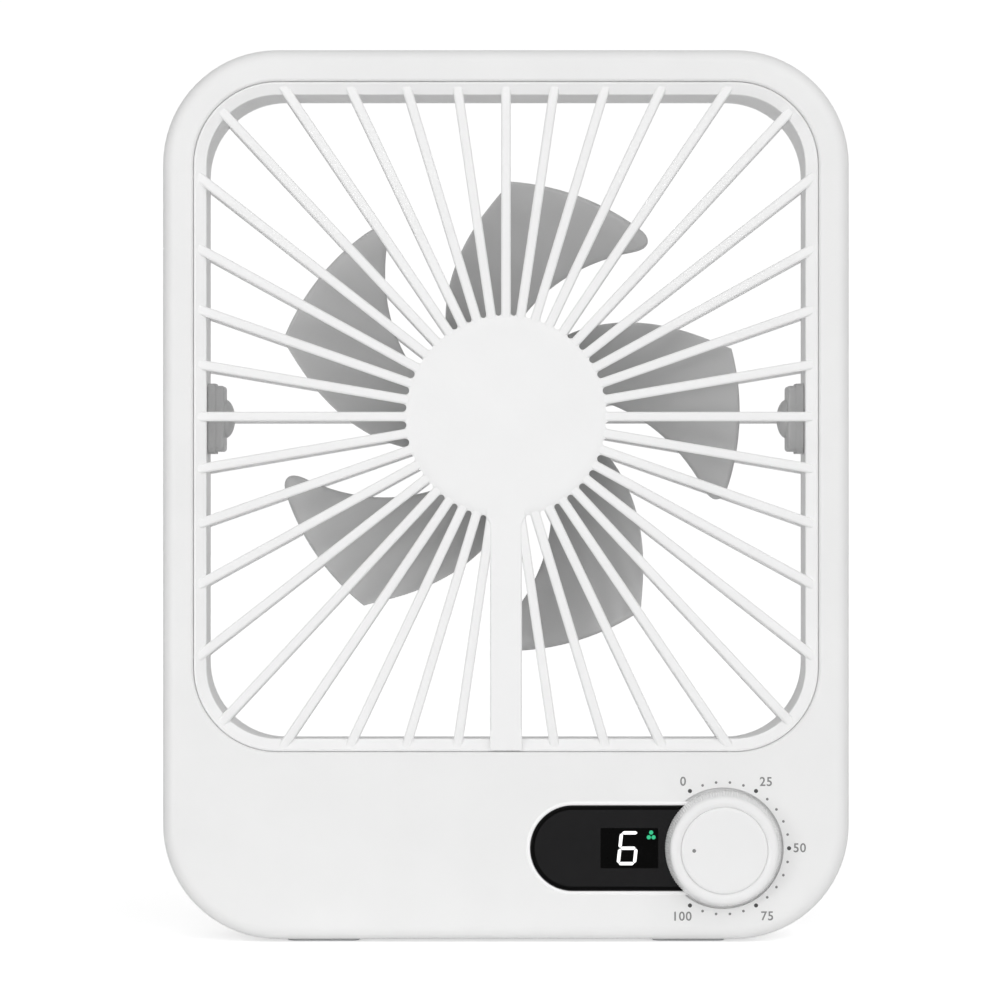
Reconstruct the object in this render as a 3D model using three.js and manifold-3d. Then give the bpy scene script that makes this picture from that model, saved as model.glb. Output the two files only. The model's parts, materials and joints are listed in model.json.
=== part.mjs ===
// A small battery-powered box fan: a flat white case with a grilled window, a motor
// carried by the front grille's centre disc, a speed knob and a number display below,
// and a U-shaped stand hinged at both sides of the back.
// Units are millimetres. X is to the right seen from the front, Z is up, and the front
// faces -Y. Places through the case are given as a depth, counted back from its front face.

import * as THREE from 'three';
import { mergeVertices } from 'three/addons/utils/BufferGeometryUtils.js';
import Module from 'manifold-3d';

const wasm = await Module();
wasm.setup();

// ---------------------------------------------------------------- driving sizes

// case
const WIDTH = 150;
const HEIGHT = 195; // floor to top, with the feet
const DEPTH = 36; // front face to rear face
const CORNER_R = 25;
const EDGE_R = 3.2; // rounding of the front edge
const REAR_EDGE_R = 2.4;
const WALL = 2;
const PANEL = 2.6; // thickness of the front face
const PARTING = 16; // depth where the front and rear housings meet
const STEP = 20; // depth where the case narrows to its rear pod
const GAP = 0.3; // between fixed pieces that touch
const RUN = 0.8; // between moving pieces and the case

// window and duct
const BAND_SIDE = 9.6; // outline to the clear opening, at the sides
const BAND_TOP = 9.9;
const CONTROL_HEIGHT = 44.5; // floor to the clear opening
const OPENING_R = 15.5;
const RIM_WIDTH = 2.8;
const RIM_OVERHANG = 1.1; // how far the rim stands into the duct
const RIM_FRONT = 1.4; // depth of the rim's face
const RIM_SEAT = 3.3; // depth of the ledge under the rim
const DUCT_WALL = 2.6;
const COLLAR = 2; // thickening of the duct wall around the rim
const COLLAR_DEPTH = 6;
const SLOT_MARGIN = 1; // around the motor cable, where it passes under the rim

// grilles
const SPOKE_COUNT = 40;
const SPOKE_WIDTH = 2.1;
const SPOKE_FRONT = 0.3;
const SPOKE_BACK = 2.8;
const SPOKE_DIP = 1.6; // depth of a spoke's end on the rim
const DIP_RUN = 1.2; // where the dip starts, inside the rim's edge
const DISC_R = 21.9;
const DISC_THICKNESS = 2.4;
const DISC_SKIRT = 5; // depth of the skirt behind the disc
const DISC_SKIRT_WALL = 1.9;
const STRUT_WIDTH = 7;
const STRUT_DEPTH = 6.6;
const STRUT_WALL = 1.2;
const REAR_DISC_R = 19.5;
const REAR_SPOKE_WIDTH = 1.8;
const REAR_SPOKE_SINK = 0.4; // how far the rear spokes lie in from the rear face
const COVER_DEPTH = 3; // from the rear grille's seat to the rear face
const COVER_THICKNESS = 2; // of its closed lower part
const SPOKE_ROOT = 3; // how far a front spoke runs into the disc
const REAR_SPOKE_ROOT = 2;
const DISC_EDGE = 0.4; // bevel around both discs
const SOCKET_WALL = 2; // around the bearing tube's front end

// motor, bearings and rotor: radii, then depths
const FAN_RADIUS = 52;
const BLADE_COUNT = 5;
const BLADE_PHASE = 17; // degrees, trailing tip of the first blade
const BLADE_THICKNESS = 1.7;
const HUB_R = 18.3;
const HUB_WALL = 2;
const YOKE_WALL = 0.8;
const MAGNET_WALL = 1.8;
const AIR_GAP = 0.5;
const SHAFT_R = 1.5;
const SHAFT_TIP = 0.3; // step around the shaft's front end
const SHAFT_START = 0.6; // behind the bearing tube's front end
const CLIP_WIDTH = 1; // of the retaining clip, outwards from the shaft
const CLIP_THICKNESS = 0.5;
const BEARING_R = 3;
const BEARING_LENGTH = 2.5;
const FRONT_BEARING_START = 1.9; // behind the tube's front end
const REAR_BEARING_END = 0.7; // before its rear end
const TUBE_WALL = 1;
const BOARD_OUTER_R = 17.4;
const MOTOR_BOARD_DEPTH = 5.3;
const MOTOR_BOARD_THICKNESS = 1.4;
const TUBE_DEPTH = 2.7;
const TUBE_END = 16;
const STATOR_DEPTH = 9.2;
const STATOR_LENGTH = 4;
const STATOR_ARMS = 4;
const STATOR_HUB = 1.6; // wall around the bearing tube
const ARM_SECTION = 3;
const SHOE_THICKNESS = 1.6;
const SHOE_GAP = 2.4;
const COIL_THICKNESS = 1.5;
const COIL_OVERHANG = 1;
const HUB_FRONT = 8.6;
const HUB_REAR = 19.8;
const HUB_PLATE = 2.3;
const YOKE_PLATE = 0.8;

// knob, dial, display
const KNOB_FROM_RIGHT = 27.7;
const KNOB_Z = 20.7;
const KNOB_R = 12.7;
const KNOB_HEIGHT = 6.5;
const KNOB_CLEARANCE = 0.4;
const KNOB_BEVEL = 1.1;
const CAP_R = 9.4;
const CAP_THICKNESS = 1.7;
const CAP_EDGE = 0.3;
const KNOB_RIM_WALL = 2.4; // wall and boss inside the hollow knob
const KNOB_BOSS_WALL = 1.6;
const KNOB_HOLLOW = 1.8;
const KNOB_SHAFT_R = 3;
const KNOB_SHAFT_END = 4; // how far the shaft runs past the front face
const POT_R = 8;
const LENS_LEFT_FROM_KNOB = 32.7; // centre of the pill's round end
const LENS_RIGHT_FROM_KNOB = 7.1; // its square end, under the knob
const LENS_HALF = 9.26;
const LENS_END_R = 1;
const LENS_THICKNESS = 1.4;
const LENS_FACE = 0.1;
const LENS_SEAT = 1.8;
const DISPLAY_FROM_KNOB = 20.4; // centre of the number window
const DISPLAY_W = 14;
const DISPLAY_H = 10.4;
const DISPLAY_CORNER_R = 0.6;
const MODULE_MARGIN = 1.2; // of the display module around its window

// inside the control box
const BOARD_DEPTH = 9.5;
const BOARD_THICKNESS = 1.6;
const BOARD_FROM_KNOB = 37; // the knob's axis to the board's left edge
const BOARD_MARGIN = 4.4; // from the board to the case's outline
const BOARD_BELOW_DUCT = 2;
const BATTERY_THICKNESS = 11;
const BATTERY_BEHIND_PANEL = 1.4;
const BATTERY_CORNER_R = 3;
const BATTERY_EDGE = 1.5;
const BATTERY_CORNER = 16; // keeps the battery out of the case's round corner
const BATTERY_FROM_CABLE = 2.7; // from the motor cable's line to the battery
const CABLE_R = 1;
const CABLE_DEPTH = 4.3;
const BATTERY_CABLE_ABOVE_SCREW = 8;
const USB_Z = 30;
const USB_W = 8.94;
const USB_H = 3.26;
const USB_LENGTH = 8.4;
const USB_WALL = 0.35;
const USB_RECESS = 0.6; // from the case's side to the port's mouth
const USB_BACK = 1; // thickness of the shell's closed end
const TONGUE_RECESS = 0.8; // from the shell's mouth to the tongue's end
const TONGUE_W = 6.7;
const TONGUE_H = 0.7;
const LIGHT_R = 1.1;
const LIGHT_LENGTH = 4.3;
const LIGHT_SINK = 0.1; // from the case's side to its end
const LIGHT_ABOVE_USB = 8;

// feet
const FOOT_PROUD = 0.6;
const FOOT_RECESS = 0.8;
const FOOT_WIDTH = 16;
const FOOT_CORNER_R = 2;
const FOOT_FROM_CORNER = 2; // from where the case's round corner starts
const FOOT_FROM_EDGE = 1.4; // from where its rounded edge ends
const FOOT_FROM_PARTING = 3.4;

// stand
const ARM_WIDTH = 4.7;
const ARM_SINK = 0.2; // from the case's side to the arm
const ARM_CLEARANCE = 0.6; // from the arm to the pod
const ARM_DEPTH = 11.2;
const ARM_SOFTEN = 0.9;
const BAR_HEIGHT = 10;
const BAR_BOTTOM = 12;
const STAND_CORNER_R = 18;
const PIN_R = 2.5;
const PIN_HEAD_R = 3.6;
const PIN_HEAD = 1.1;
const WASHER_R = 4.7;
const WASHER_THICKNESS = 0.8;
const BRACKET_PROUD = 4.4;
const BRACKET_HEIGHT = 15.7;
const BRACKET_DEPTH = 10.4;
const BRACKET_CORNER_R = 1.4;
const CAP_DOME_R = 4.35;
const CAP_DOME = 1.4;
const HEEL_TOP = 10.8; // top of the full-depth strip under the stand's bar
const POD_BOTTOM = 24;
const POD_CORNER_R = 12.5; // the pod's lower corners, inside the stand's
const POD_SIDE_WALL = 3;
const HOLLOW_R = 2;
const PAD_LENGTH = 22;
const PAD_FROM_CORNER = 12; // from where the stand's corner starts
const PAD_CORNER_R = 1;
const PAD_WIDTH = 7;
const PAD_PROUD = 0.3;
const PAD_RECESS = 0.9;

// screws
const SCREW_HEAD_R = 2.2;
const SCREW_HEAD = 1.3;
const SCREW_R = 1.1;
const BOSS_R = 2.7;
const HOUSING_SCREW_LENGTH = 9;
const COVER_SCREW_FROM_CORNER = 7; // from where the pod's lower corner starts
const COVER_SCREW_LENGTH = 7;
const COVER_HEAD_SINK = 0.2;
const BOARD_SCREW_R = 1;
const BOARD_SCREW_HEAD_R = 1.9;
const BOARD_SCREW_LENGTH = 6;
const BOARD_PILOT = 5; // depth of its hole in the post
const BOARD_SCREW_INSET = 3.4; // from the board's edges
const MOTOR_SCREW_RADIUS = 15; // from the fan's axis
const MOTOR_SCREW_R = 0.9;
const MOTOR_SCREW_HEAD_R = 1.6;
const MOTOR_SCREW_HEAD = 0.9;
const MOTOR_SCREW_LENGTH = 3.8;
const MOTOR_POST_R = 2.1;

// steps in a quarter turn of a corner, and in a full turn of a round piece
const CORNER_STEPS = 6;
const ROUND_STEPS = 24;
const SMALL_STEPS = 12;

// ---------------------------------------------------------------- worked out from them

const FRONT_Y = (KNOB_HEIGHT - DEPTH) / 2;
const OPENING_HALF = WIDTH / 2 - BAND_SIDE;
const OPENING_TOP = HEIGHT - BAND_TOP;
const FAN_Z = (CONTROL_HEIGHT + OPENING_TOP) / 2;
const OPENING_RISE = (OPENING_TOP - CONTROL_HEIGHT) / 2;
const SPOKE_STRETCH = OPENING_RISE / OPENING_HALF;
const KNOB_X = WIDTH / 2 - KNOB_FROM_RIGHT;
const DUCT_BOTTOM = CONTROL_HEIGHT - RIM_OVERHANG;
const DUCT_HALF = OPENING_HALF + RIM_OVERHANG;
const ARM_OUT = WIDTH / 2 - ARM_SINK;
const ARM_IN = ARM_OUT - ARM_WIDTH;
const STEP_INSET = ARM_SINK + ARM_WIDTH + ARM_CLEARANCE; // outline to pod
const POD_HALF = WIDTH / 2 - STEP_INSET;
const POD_TOP = HEIGHT - STEP_INSET;
const PIVOT_DEPTH = STEP + RUN / 2 + ARM_DEPTH / 2;
const PIVOT_Z = FAN_Z;
const COVER_SEAT = DEPTH - COVER_DEPTH;
const BOARD_LEFT = KNOB_X - BOARD_FROM_KNOB;
const BOARD_RIGHT = WIDTH / 2 - BOARD_MARGIN;
const BOARD_BOTTOM = FOOT_PROUD + BOARD_MARGIN;
const BOARD_TOP = DUCT_BOTTOM - DUCT_WALL - BOARD_BELOW_DUCT;
const DISPLAY_X = KNOB_X - DISPLAY_FROM_KNOB;
const TUBE_R = BEARING_R + GAP + TUBE_WALL;
const MAGNET_OUTER = HUB_R - HUB_WALL - GAP - YOKE_WALL - GAP;
const MAGNET_INNER = MAGNET_OUTER - MAGNET_WALL;
const STATOR_R = MAGNET_INNER - AIR_GAP;
const STATOR_BORE = TUBE_R + GAP;
const TURN = 2 * Math.PI;

// ---------------------------------------------------------------- making solids

function solid(geometry) {
  const bare = geometry.index ? geometry.toNonIndexed() : geometry.clone();
  bare.deleteAttribute('normal');
  bare.deleteAttribute('uv');
  const merged = mergeVertices(bare, 1e-4);
  const mesh = new wasm.Mesh({
    numProp: 3,
    vertProperties: new Float32Array(merged.attributes.position.array),
    triVerts: new Uint32Array(merged.index.array),
  });
  return new wasm.Manifold(mesh);
}

function join(pieces) {
  return pieces.reduce((whole, piece) => whole.add(piece));
}

function cut(whole, pieces) {
  return pieces.reduce((left, piece) => left.subtract(piece), whole);
}

// a flat shape drawn in X and Z, from one depth to another
function plate(shape, near, far, { edge = 0, edgeSteps = 3, steps = CORNER_STEPS / 2 } = {}) {
  const geometry = new THREE.ExtrudeGeometry(shape, {
    depth: far - near - 2 * edge,
    bevelEnabled: edge > 0,
    bevelThickness: edge,
    bevelSize: edge,
    bevelOffset: -edge,
    bevelSegments: edgeSteps,
    curveSegments: steps,
  });
  geometry.rotateX(Math.PI / 2);
  geometry.translate(0, FRONT_Y + far - edge, 0);
  return solid(geometry);
}

function block(x0, x1, near, far, z0, z1) {
  const geometry = new THREE.BoxGeometry(x1 - x0, far - near, z1 - z0);
  geometry.translate((x0 + x1) / 2, FRONT_Y + (near + far) / 2, (z0 + z1) / 2);
  return solid(geometry);
}

// all the space between two depths
function slab(near, far) {
  const reach = 2 * (WIDTH + HEIGHT);
  return block(-reach, reach, near, far, -reach, reach);
}

function roundedFront(shape, near, far, edge) {
  return plate(shape, near, far + 2 * edge, { edge, edgeSteps: 3 }).intersect(slab(near, far));
}

function roundedBack(shape, near, far, edge) {
  return plate(shape, near - 2 * edge, far, { edge, edgeSteps: 2 }).intersect(slab(near, far));
}

// a round bar along Y
function round(x, z, radius, near, far, steps = ROUND_STEPS) {
  const geometry = new THREE.CylinderGeometry(radius, radius, far - near, steps);
  geometry.translate(x, FRONT_Y + (near + far) / 2, z);
  return solid(geometry);
}

function tube(x, z, outer, inner, near, far, steps = ROUND_STEPS) {
  return round(x, z, outer, near, far, steps).subtract(round(x, z, inner, near - 1, far + 1, steps));
}

// a round bar along X
function pinAlongX(x0, x1, depth, z, radius, steps = SMALL_STEPS) {
  const geometry = new THREE.CylinderGeometry(radius, radius, x1 - x0, steps);
  geometry.rotateZ(Math.PI / 2);
  geometry.translate((x0 + x1) / 2, FRONT_Y + depth, z);
  return solid(geometry);
}

// a shape drawn in depth and Z, from one X to another
function barAlongX(shape, x0, x1) {
  const geometry = new THREE.ExtrudeGeometry(shape, {
    depth: x1 - x0,
    bevelEnabled: false,
    curveSegments: 4,
  });
  const toX = new THREE.Matrix4().makeBasis(
    new THREE.Vector3(0, 1, 0),
    new THREE.Vector3(0, 0, 1),
    new THREE.Vector3(1, 0, 0),
  );
  geometry.applyMatrix4(toX);
  geometry.translate(x0, FRONT_Y, 0);
  return solid(geometry);
}

// a cable through points given as [x, depth, z]
function cable(points, radius, steps) {
  const path = new THREE.CatmullRomCurve3(
    points.map(([x, depth, z]) => new THREE.Vector3(x, FRONT_Y + depth, z)),
  );
  const section = new THREE.Shape();
  section.absarc(0, 0, radius, 0, TURN, false);
  return solid(
    new THREE.ExtrudeGeometry(section, { extrudePath: path, steps, curveSegments: 4 }),
  );
}

function roundedRect(x0, x1, z0, z1, radius, lowerRadius = radius) {
  const shape = new THREE.Shape();
  shape.moveTo(x0 + lowerRadius, z0);
  shape.absarc(x1 - lowerRadius, z0 + lowerRadius, lowerRadius, -Math.PI / 2, 0, false);
  shape.absarc(x1 - radius, z1 - radius, radius, 0, Math.PI / 2, false);
  shape.absarc(x0 + radius, z1 - radius, radius, Math.PI / 2, Math.PI, false);
  shape.absarc(x0 + lowerRadius, z0 + lowerRadius, lowerRadius, Math.PI, Math.PI * 1.5, false);
  return shape;
}

// the case's outline, moved inwards
function outline(inset = 0) {
  return roundedRect(
    inset - WIDTH / 2,
    WIDTH / 2 - inset,
    FOOT_PROUD + inset,
    HEIGHT - inset,
    CORNER_R - inset,
  );
}

// the window's clear opening, moved outwards
function opening(grow = 0) {
  return roundedRect(
    -OPENING_HALF - grow,
    OPENING_HALF + grow,
    CONTROL_HEIGHT - grow,
    OPENING_TOP + grow,
    OPENING_R + grow,
  );
}

function podOutline(inset = 0) {
  return roundedRect(
    inset - POD_HALF,
    POD_HALF - inset,
    POD_BOTTOM + inset,
    POD_TOP - inset,
    CORNER_R - STEP_INSET - inset,
    POD_CORNER_R - inset,
  );
}

// the display's window: a pill whose right end is square and hidden by the knob
function lensOutline(grow = 0) {
  const half = LENS_HALF + grow;
  const left = KNOB_X - LENS_LEFT_FROM_KNOB;
  const right = KNOB_X - LENS_RIGHT_FROM_KNOB + grow;
  const shape = new THREE.Shape();
  shape.absarc(left, KNOB_Z, half, Math.PI / 2, Math.PI * 1.5, false);
  shape.absarc(right - LENS_END_R, KNOB_Z - half + LENS_END_R, LENS_END_R, -Math.PI / 2, 0, false);
  shape.absarc(right - LENS_END_R, KNOB_Z + half - LENS_END_R, LENS_END_R, 0, Math.PI / 2, false);
  return shape;
}

// ---------------------------------------------------------------- places of screws and feet

// top corners: midway between the pod and the outline, on the corner's diagonal
const CORNER_SCREW = (CORNER_R - STEP_INSET / 2) * Math.SQRT1_2;
const CORNER_SCREW_X = WIDTH / 2 - CORNER_R + CORNER_SCREW;
const CORNER_SCREW_Z = HEIGHT - CORNER_R + CORNER_SCREW;
const BATTERY_LEFT = BATTERY_CORNER - WIDTH / 2;
const BATTERY_RIGHT = -BATTERY_FROM_CABLE;
const GROOVE_SCREW_X = (BATTERY_RIGHT + BOARD_LEFT) / 2;
const GROOVE_SCREW_Z = BAR_BOTTOM + BAR_HEIGHT / 2;
const HOUSING_SCREWS = [
  [-CORNER_SCREW_X, CORNER_SCREW_Z],
  [CORNER_SCREW_X, CORNER_SCREW_Z],
  [GROOVE_SCREW_X, GROOVE_SCREW_Z], // in the groove behind the stand's bar
];
const COVER_SCREW_X = POD_HALF - POD_CORNER_R - COVER_SCREW_FROM_CORNER;
const COVER_SCREW_Z = POD_BOTTOM + WALL + BOSS_R - GAP;
const COVER_SCREWS = [
  [-COVER_SCREW_X, COVER_SCREW_Z],
  [COVER_SCREW_X, COVER_SCREW_Z],
];
const BOARD_SCREWS = [
  [BOARD_LEFT + BOARD_SCREW_INSET, BOARD_BOTTOM + BOARD_SCREW_INSET],
  [BOARD_LEFT + BOARD_SCREW_INSET, BOARD_TOP - BOARD_SCREW_INSET],
  [BOARD_RIGHT - USB_LENGTH - BOARD_SCREW_HEAD_R, BOARD_TOP - BOARD_SCREW_INSET],
];
const FOOT_X = WIDTH / 2 - CORNER_R - FOOT_FROM_CORNER - FOOT_WIDTH / 2;
const FRONT_FOOT = [EDGE_R + FOOT_FROM_EDGE, PARTING - FOOT_FROM_PARTING];
const REAR_FOOT = [PARTING + FOOT_FROM_PARTING, DEPTH - REAR_EDGE_R - FOOT_FROM_EDGE];
const PAD_X = WIDTH / 2 - STAND_CORNER_R - PAD_FROM_CORNER - PAD_LENGTH / 2;
const FEET = [
  ['foot_front_left', -FOOT_X, FRONT_FOOT],
  ['foot_front_right', FOOT_X, FRONT_FOOT],
  ['foot_rear_left', -FOOT_X, REAR_FOOT],
  ['foot_rear_right', FOOT_X, REAR_FOOT],
];

function footRecesses() {
  return FEET.map(([, x, [near, far]]) =>
    block(
      x - FOOT_WIDTH / 2 - GAP,
      x + FOOT_WIDTH / 2 + GAP,
      near - GAP,
      far + GAP,
      -1,
      FOOT_PROUD + FOOT_RECESS + GAP,
    ),
  );
}

// ---------------------------------------------------------------- case

function frontHousing() {
  const outer = roundedFront(outline(), 0, PARTING, EDGE_R);
  const shell = cut(outer, [plate(outline(WALL), PANEL, PARTING + 1)]);
  const duct = plate(opening(RIM_OVERHANG + DUCT_WALL), PANEL / 2, PARTING);
  const collar = plate(opening(RIM_WIDTH + GAP + COLLAR), PANEL / 2, COLLAR_DEPTH);
  const bosses = HOUSING_SCREWS.map(([x, z]) => round(x, z, BOSS_R, PANEL / 2, PARTING, SMALL_STEPS));
  const posts = BOARD_SCREWS.map(([x, z]) =>
    round(x, z, BOSS_R, PANEL / 2, BOARD_DEPTH - GAP, SMALL_STEPS),
  );
  const inside = join([duct, collar, ...bosses, ...posts]).intersect(outer);
  const pilots = HOUSING_SCREWS.map(([x, z]) =>
    round(x, z, SCREW_R + GAP, PARTING - HOUSING_SCREW_LENGTH, PARTING + 1, SMALL_STEPS),
  );
  const boardPilots = BOARD_SCREWS.map(([x, z]) =>
    round(x, z, BOARD_SCREW_R + GAP, BOARD_DEPTH - BOARD_PILOT, BOARD_DEPTH, SMALL_STEPS),
  );
  const cableSlot = block(
    -CABLE_R - SLOT_MARGIN,
    CABLE_R + SLOT_MARGIN,
    RIM_SEAT - 1,
    STRUT_DEPTH,
    DUCT_BOTTOM - DUCT_WALL - COLLAR - 1,
    DUCT_BOTTOM + 1,
  );
  return cut(shell.add(inside), [
    plate(opening(RIM_OVERHANG), -1, PARTING + 1),
    plate(opening(RIM_WIDTH + GAP), -1, RIM_SEAT),
    plate(lensOutline(GAP), -1, LENS_SEAT),
    displayWindow(),
    round(KNOB_X, KNOB_Z, KNOB_SHAFT_R + 1, -1, PANEL + 1),
    barAlongX(usbSection(GAP), WIDTH / 2 - WALL - 1, WIDTH / 2 + 1),
    pinAlongX(WIDTH / 2 - WALL - 1, WIDTH / 2 + 1, usbDepth(), USB_Z + LIGHT_ABOVE_USB, LIGHT_R + GAP),
    cableSlot,
    ...pilots,
    ...boardPilots,
    ...footRecesses(),
  ]);
}

function displayWindow() {
  const x0 = DISPLAY_X - DISPLAY_W / 2;
  const z0 = KNOB_Z - DISPLAY_H / 2;
  const shape = roundedRect(x0, x0 + DISPLAY_W, z0, z0 + DISPLAY_H, DISPLAY_CORNER_R);
  return plate(shape, -1, PANEL + 1, { steps: 1 });
}

// the hollow of the pod's lower part
function belowDuct() {
  const side = POD_HALF - POD_SIDE_WALL;
  const top = DUCT_BOTTOM - DUCT_WALL;
  return roundedRect(-side, side, POD_BOTTOM + WALL, top, HOLLOW_R, POD_CORNER_R - WALL);
}

function rearHousing() {
  const near = PARTING + GAP;
  const band = roundedBack(outline(), near, STEP, REAR_EDGE_R / 2);
  const heel = roundedBack(outline(), near, DEPTH, REAR_EDGE_R).intersect(
    block(-WIDTH, WIDTH, 0, DEPTH + 1, 0, HEEL_TOP),
  );
  const bandHollow = plate(outline(WALL), near - 1, STEP - WALL);
  const heelHollow = plate(outline(WALL), near - 1, DEPTH - WALL).intersect(
    block(-WIDTH, WIDTH, 0, DEPTH, 0, HEEL_TOP - WALL),
  );
  const podHollow = plate(belowDuct(), near - 1, COVER_SEAT + 1);
  const pod = plate(podOutline(), near, COVER_SEAT);
  const shell = cut(join([band, pod, heel]), [bandHollow, heelHollow, podHollow]);
  const duct = plate(opening(RIM_OVERHANG + DUCT_WALL), near, COVER_SEAT).intersect(pod);
  const bosses = HOUSING_SCREWS.map(([x, z]) => round(x, z, BOSS_R, near, STEP - 1, SMALL_STEPS));
  const posts = COVER_SCREWS.map(([x, z]) =>
    round(x, z, BOSS_R, STEP, COVER_SEAT, SMALL_STEPS),
  );
  const inside = join([duct, ...bosses, ...posts]).intersect(plate(outline(), near, COVER_SEAT));
  const screwHoles = HOUSING_SCREWS.flatMap(([x, z]) => [
    round(x, z, SCREW_R + GAP, near - 1, STEP + 1, SMALL_STEPS),
    round(x, z, SCREW_HEAD_R + GAP, STEP - SCREW_HEAD - GAP, STEP + 1, SMALL_STEPS),
  ]);
  const coverPilots = COVER_SCREWS.map(([x, z]) =>
    round(x, z, SCREW_R + GAP, COVER_SEAT - COVER_SCREW_LENGTH, COVER_SEAT + 1, SMALL_STEPS),
  );
  return cut(shell.add(inside), [
    plate(opening(RIM_OVERHANG), near - 1, COVER_SEAT + 1),
    pinAlongX(-POD_HALF - 1, POD_HALF + 1, PIVOT_DEPTH, PIVOT_Z, PIN_R + GAP),
    ...screwHoles,
    ...coverPilots,
    ...footRecesses(),
  ]);
}

// ---------------------------------------------------------------- grilles

// distance from a rounded rectangle's centre to its edge, along the unit direction (x, z)
function reach(x, z, halfX, halfZ, radius) {
  const straight = Math.min(halfX / Math.abs(x), halfZ / Math.abs(z));
  const cornerX = halfX - radius;
  const cornerZ = halfZ - radius;
  if (Math.abs(x) * straight <= cornerX || Math.abs(z) * straight <= cornerZ) {
    return straight;
  }
  const along = Math.abs(x) * cornerX + Math.abs(z) * cornerZ;
  return along + Math.sqrt(along ** 2 - cornerX ** 2 - cornerZ ** 2 + radius ** 2);
}

// the spokes fan out so that they cross the opening's taller sides as evenly as its top
function spokeAngle(index) {
  const even = Math.PI / 2 + (index * TURN) / SPOKE_COUNT;
  return Math.atan2(SPOKE_STRETCH * Math.sin(even), Math.cos(even));
}

// one spoke: a profile drawn in radius and depth, as thick as the spoke is wide
function spoke(angle, width, profile) {
  const shape = new THREE.Shape(profile.map(([r, depth]) => new THREE.Vector2(r, FRONT_Y + depth)));
  const geometry = new THREE.ExtrudeGeometry(shape, { depth: width, bevelEnabled: false });
  geometry.translate(0, 0, -width / 2);
  geometry.rotateY(-angle);
  geometry.translate(0, 0, FAN_Z);
  return solid(geometry);
}

function frontSpokes() {
  const spokes = [];
  for (let i = 0; i < SPOKE_COUNT; i += 1) {
    if (i === SPOKE_COUNT / 2) {
      continue; // the strut stands here
    }
    const angle = spokeAngle(i);
    const x = Math.cos(angle);
    const z = Math.sin(angle);
    const edge = reach(x, z, OPENING_HALF, OPENING_RISE, OPENING_R) - DIP_RUN;
    const end = reach(
      x,
      z,
      OPENING_HALF + RIM_WIDTH,
      OPENING_RISE + RIM_WIDTH,
      OPENING_R + RIM_WIDTH,
    );
    spokes.push(
      spoke(angle, SPOKE_WIDTH, [
        [DISC_R - SPOKE_ROOT, SPOKE_FRONT],
        [edge, SPOKE_FRONT],
        [end, SPOKE_DIP],
        [end, SPOKE_BACK],
        [DISC_R - SPOKE_ROOT, SPOKE_BACK],
      ]),
    );
  }
  return join(spokes).intersect(plate(opening(RIM_WIDTH), 0, RIM_SEAT));
}

function frontGrille() {
  const back = RIM_SEAT - GAP;
  const rim = plate(opening(RIM_WIDTH), RIM_FRONT, back).subtract(plate(opening(), 0, back + 1));
  const disc = new THREE.Shape();
  disc.absarc(0, FAN_Z, DISC_R, 0, TURN, false);
  const face = plate(disc, 0, DISC_THICKNESS, {
    edge: DISC_EDGE,
    edgeSteps: 1,
    steps: ROUND_STEPS / 2,
  });
  const skirt = tube(0, FAN_Z, DISC_R, DISC_R - DISC_SKIRT_WALL, DISC_THICKNESS / 2, DISC_SKIRT);
  const socketR = TUBE_R + GAP;
  const boss = round(0, FAN_Z, socketR + SOCKET_WALL, DISC_THICKNESS / 2, MOTOR_BOARD_DEPTH - GAP);
  const posts = motorScrewPlaces().map(([x, z]) =>
    round(x, z, MOTOR_POST_R, DISC_THICKNESS / 2, MOTOR_BOARD_DEPTH - GAP, SMALL_STEPS),
  );
  const strutTop = FAN_Z - DISC_R + DISC_SKIRT_WALL;
  const strutFoot = CONTROL_HEIGHT - RIM_WIDTH;
  const strut = join([
    block(-STRUT_WIDTH / 2, STRUT_WIDTH / 2, 0, DISC_THICKNESS, strutFoot, strutTop),
    block(
      -STRUT_WIDTH / 2,
      STRUT_WIDTH / 2,
      DISC_THICKNESS / 2,
      STRUT_DEPTH,
      DUCT_BOTTOM + GAP,
      strutTop,
    ),
  ]);
  const channel = STRUT_WIDTH / 2 - STRUT_WALL;
  const inset = RIM_WIDTH - RIM_OVERHANG;
  return cut(join([frontSpokes(), rim, face, skirt, boss, ...posts, strut]), [
    block(-channel, channel, DISC_THICKNESS, STRUT_DEPTH + 1, CONTROL_HEIGHT + inset, strutTop + 1),
    block(-channel, channel, RIM_SEAT - GAP, STRUT_DEPTH + 1, 0, CONTROL_HEIGHT + inset + 1),
    block(-channel, channel, DISC_THICKNESS, DISC_SKIRT + 1, strutTop - 3, strutTop + 3),
    round(0, FAN_Z, socketR, DISC_THICKNESS, MOTOR_BOARD_DEPTH),
    ...motorScrewPlaces().map(([x, z]) =>
      round(x, z, MOTOR_SCREW_R + GAP, DISC_THICKNESS + GAP, MOTOR_BOARD_DEPTH, SMALL_STEPS),
    ),
  ]);
}

function cableCover() {
  const half = STRUT_WIDTH / 2 - STRUT_WALL - GAP;
  return block(
    -half,
    half,
    CABLE_DEPTH + CABLE_R + GAP,
    STRUT_DEPTH,
    DUCT_BOTTOM + RIM_WIDTH,
    FAN_Z - DISC_R - DISC_SKIRT_WALL,
  );
}

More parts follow.
